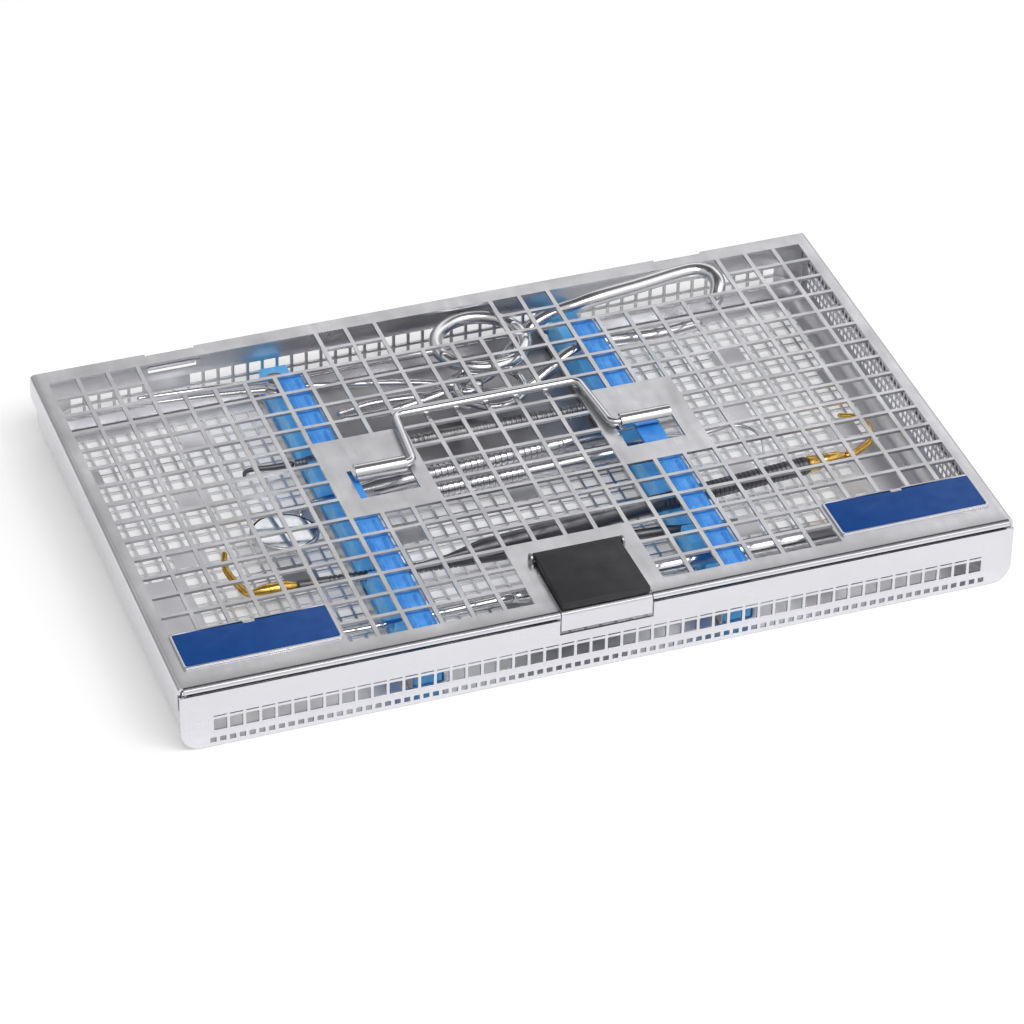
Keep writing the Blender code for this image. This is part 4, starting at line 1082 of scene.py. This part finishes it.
def with_radii(points, radii):
    """Spreads the radii evenly along the points."""
    result = []
    for i, point in enumerate(points):
        at = i / (len(points) - 1) * (len(radii) - 1)
        k = min(int(at), len(radii) - 2)
        result.append((*point, radii[k] + (radii[k + 1] - radii[k]) * (at - k)))
    return result


def make_ring(shape, center, radius, thick):
    ring = [(*point, center[2], thick) for point in arc(center[:2], radius, 0, 360, 64)[:-1]]
    return tube(shape, ring, 1.0, 18, True)


def make_artery_forceps():
    """Two slim halves that cross at a rivet, one above the other, each with a finger ring."""
    joint = (-60, 66)
    low_z, high_z, shank = 15.55, 18.9, 1.25
    path_a = [(-3.5, 65.5), (-18, 66.2), (-48, 66.6), joint, (-80, 68.3), (-106, 70.5)]
    path_b = [(-2.7, 49.2), (-18, 56.0), (-48, 64.0), joint, (-80, 69.0), (-106, 71.6)]
    rings = {"a": (11.5, 65.5, 15.0, 2.3), "b": (8.0, 44.8, 11.4, shank)}
    for which, path, z, body in (("a", path_a, high_z, "tray"), ("b", path_b, low_z, "artery_half")):
        name = "artery_half_" + ("upper" if which == "a" else "lower")
        points = with_radii([(x, y, z) for x, y in path], [shank] * 4 + [1.2, 0.75])
        shape = tube(bmesh.new(), rounded_ends(smooth_path(points)), 1.0, 18)
        x, y, radius, thick = rings[which]
        make_ring(shape, (x, y, z + (thick - shank) * 0.4), radius, thick)
        boss = [(0, 3.2), (0.4, 3.6), (2.0, 3.6), (2.4, 3.2)]
        lathe(shape, (*joint, z - 1.2), (*joint, z + 1.2), boss)
        piece(name, mesh_from(shape, name), BRIGHT, body,
              ["artery_forceps_half_" + which], 60)
    profile = [(0, 1.0), (0.2, 1.2), (5.5, 1.2), (5.7, 0.9)]
    lathe_piece("artery_rivet", (*joint, low_z - 1.2), (*joint, 20), profile, BRIGHT,
                ["artery_forceps_rivet"], 24)


def make_extraction_forceps():
    """Thick curved handles that cross at a rivet; the fixed one stands up through the right window."""
    joint = (2, 53.5)
    path_a = [(-42, 51.5, 9.0), (-28, 48.8, 10.5), (-12, 50.0, 11.8), (*joint, 11.8)]
    path_a += [(14, 59.0, 11.6), (24, 68.0, 12.6), (29, 71.8, 14.2), (34, 74.3, 16.6)]
    path_a += [(41, 75.0, 19.1), (48, 73.8, 21.3)]
    path_a += [(56, 73.6, 22.9), (72.5, 76.0, 23.0), (86, 78.5, 23.0), (93.5, 78.6, 23.0)]
    path_a += [(97.6, 75.3, 22.9), (98.2, 70.0, 22.2), (96.2, 66.0, 19.6), (93.5, 63.0, 17.8)]
    path_b = [(-42, 55.6, 8.5), (-28, 58.5, 8.0), (-12, 57.2, 7.8), (*joint, 7.8), (20, 50.0, 8.5)]
    path_b += [(31, 51.8, 12.8), (40, 54.0, 16.8), (52, 56.0, 17.4), (70, 54.5, 17.2)]
    path_b.append((87.5, 56.8, 17.0))
    radii_a = [1.2, 1.6, 2.0, 2.2, 2.2, 2.2, 2.3, 2.4, 2.5, 2.7]
    radii_a += [2.9, 2.9, 2.9, 2.9, 2.8, 2.7, 2.6, 2.5]
    radii_b = [1.2, 2.0, 2.3, 2.6, 2.8]
    boss = [(0, 5.4), (0.6, 6), (3.0, 6), (3.6, 5.4)]
    for which, path, radii, low, body in (("a", path_a, radii_a, 10.0, "tray"),
                                          ("b", path_b, radii_b, 5.9, "extraction_half")):
        name = "extraction_half_" + ("upper" if which == "a" else "lower")
        points = with_radii(path, radii)
        shape = tube(bmesh.new(), rounded_ends(smooth_path(points)), 0.9, 24)
        lathe(shape, (*joint, low), (*joint, low + 3.6), boss)
        piece(name, mesh_from(shape, name), BRIGHT, body,
              ["extraction_forceps_half_" + which], 60)
    profile = [(0, 1.7), (0.3, 2.0), (7.1, 2.0), (7.4, 1.6)]
    lathe_piece("extraction_rivet", (*joint, 6.0), (*joint, 14), profile, BRIGHT,
                ["extraction_forceps_rivet"], 28)


def make_elevator():
    start, end = Vector((-20, -59.5, 10.5)), Vector((90, -60, 10.5))
    length = (end - start).length
    profile = [(0, 2.0), (2, 2.6), (12, 3.8), (40, 3.4), (length - 20, 4.0), (length - 3, 3.8)]
    profile += [(length - 1, 3.2), (length, 2.0)]
    lathe_piece("elevator_grip", start, end, profile, BRIGHT, ["elevator_handle"])
    path = [(-20.3, -59.5, 10.5), (-50, -59.5, 10), (-64, -59.5, 10)]
    path += [(-74, -59.0, 9.8), (-82, -57.5, 9.4)]
    points = with_radii(path, [1.7, 1.4, 1.3, 1.2, 0.8])
    tube_piece("elevator_shank", smooth_path(points), BRIGHT, "tray",
               ["elevator_blade"])


def make_probe():
    start, end = Vector((62, 4.5, 10)), Vector((-44, 2.2, 10))
    length = (end - start).length
    profile = [(0, 1.2), (1, 1.5), (8, 2.75), (30, 2.8), (40, 2.4), (50, 2.4)]
    profile += ribs(58, 92, 2.8, 2.0, 0.35) + [(92.5, 2.8), (length - 1.5, 2.8), (length, 2.0)]
    lathe_piece("probe_grip", start, end, profile, FORGED, ["probe_handle"], 32)
    path = [(62.3, 4.5, 10), (70, 5.2, 10), (78.5, 6.2, 10)]
    path += [(84.2, 2.5, 10), (85.2, -4, 10), (82.6, -12.6, 10)]
    points = with_radii(path, [1.1, 0.95, 0.8, 0.65, 0.5, 0.3])
    tube_piece("probe_point", smooth_path(points), BRIGHT, "tray", ["probe_tip"])


def make_curette():
    start, end = Vector((-64, 31.2, 10)), Vector((66, 30.0, 10))
    length = (end - start).length
    radius = 2.4
    profile = [(0, 1.2), (2, 1.4), (12, radius)] + ribs(18, 45, radius, 1.8, 0.3)
    profile += [(46, radius), (66, radius)] + ribs(68, 100, radius, 1.8, 0.3)
    profile += [(100.5, radius), (length - 20, radius), (length - 12, 1.0), (length, 0.8)]
    lathe_piece("curette_grip", start, end, profile, KNURL, ["curette_handle"], 32)
    path = [(-64.3, 31.2, 10), (-72, 31.6, 10), (-78, 32.2, 10.2)]
    path += [(-81.2, 30.8, 10.6), (-82.2, 27.0, 10.8)]
    points = with_radii(path, [1.1, 1.0, 0.8, 0.65, 0.5])
    tube_piece("curette_hook", smooth_path(points), DARK, "tray", ["curette_tip"])


def build():
    make_camera()
    make_world()
    make_floor(floor_paint("studio_floor"))
    area_light("overhead", (0.15, -0.80, 1.40), (0, 0, 0), (1.4, 0.8), 12)
    make_lid()
    make_latch_ears()
    for side, name in SIDES:
        make_strip("lid_blocks_" + name, side, "lid_strip_" + name)
    for side, name in SIDES:
        make_label("label_plate_" + name, side, "label_" + name)
    make_handle()
    make_latch()
    make_tray()
    make_walls()
    make_comb("comb_left", -1, "silicone_comb_left", LEFT_RESTS)
    make_comb("comb_right", 1, "silicone_comb_right", RIGHT_RESTS)
    for side, name in SIDES:
        make_channel("comb_rail_" + name, side, "comb_channel_" + name)
    make_mirror()
    hook = [(-100.5, -23.0, 9.2), (-101.7, -16.0, 10.0), (-100.2, -10.0, 12.0)]
    make_scaler("left_scaler", (-82.5, -30.5, 9.0), (62, -41.7, 9.0), 14, hook, 10, 52, SLIM)
    hook = [(109.0, -25.5, 13.6), (116.0, -21.5, 14.0), (118.5, -15.5, 14.6), (117.2, -9.0, 15.0)]
    hook.append((111.5, -5.0, 14.6))
    make_scaler("right_scaler", (91.5, -27.3, 14.0), (-47, -38.5, 14.0), 13.5, hook, 2, 52, 3.0)
    make_artery_forceps()
    make_extraction_forceps()
    make_elevator()
    make_probe()
    make_curette()


build()
bpy.context.scene.view_settings.view_transform = "Standard"
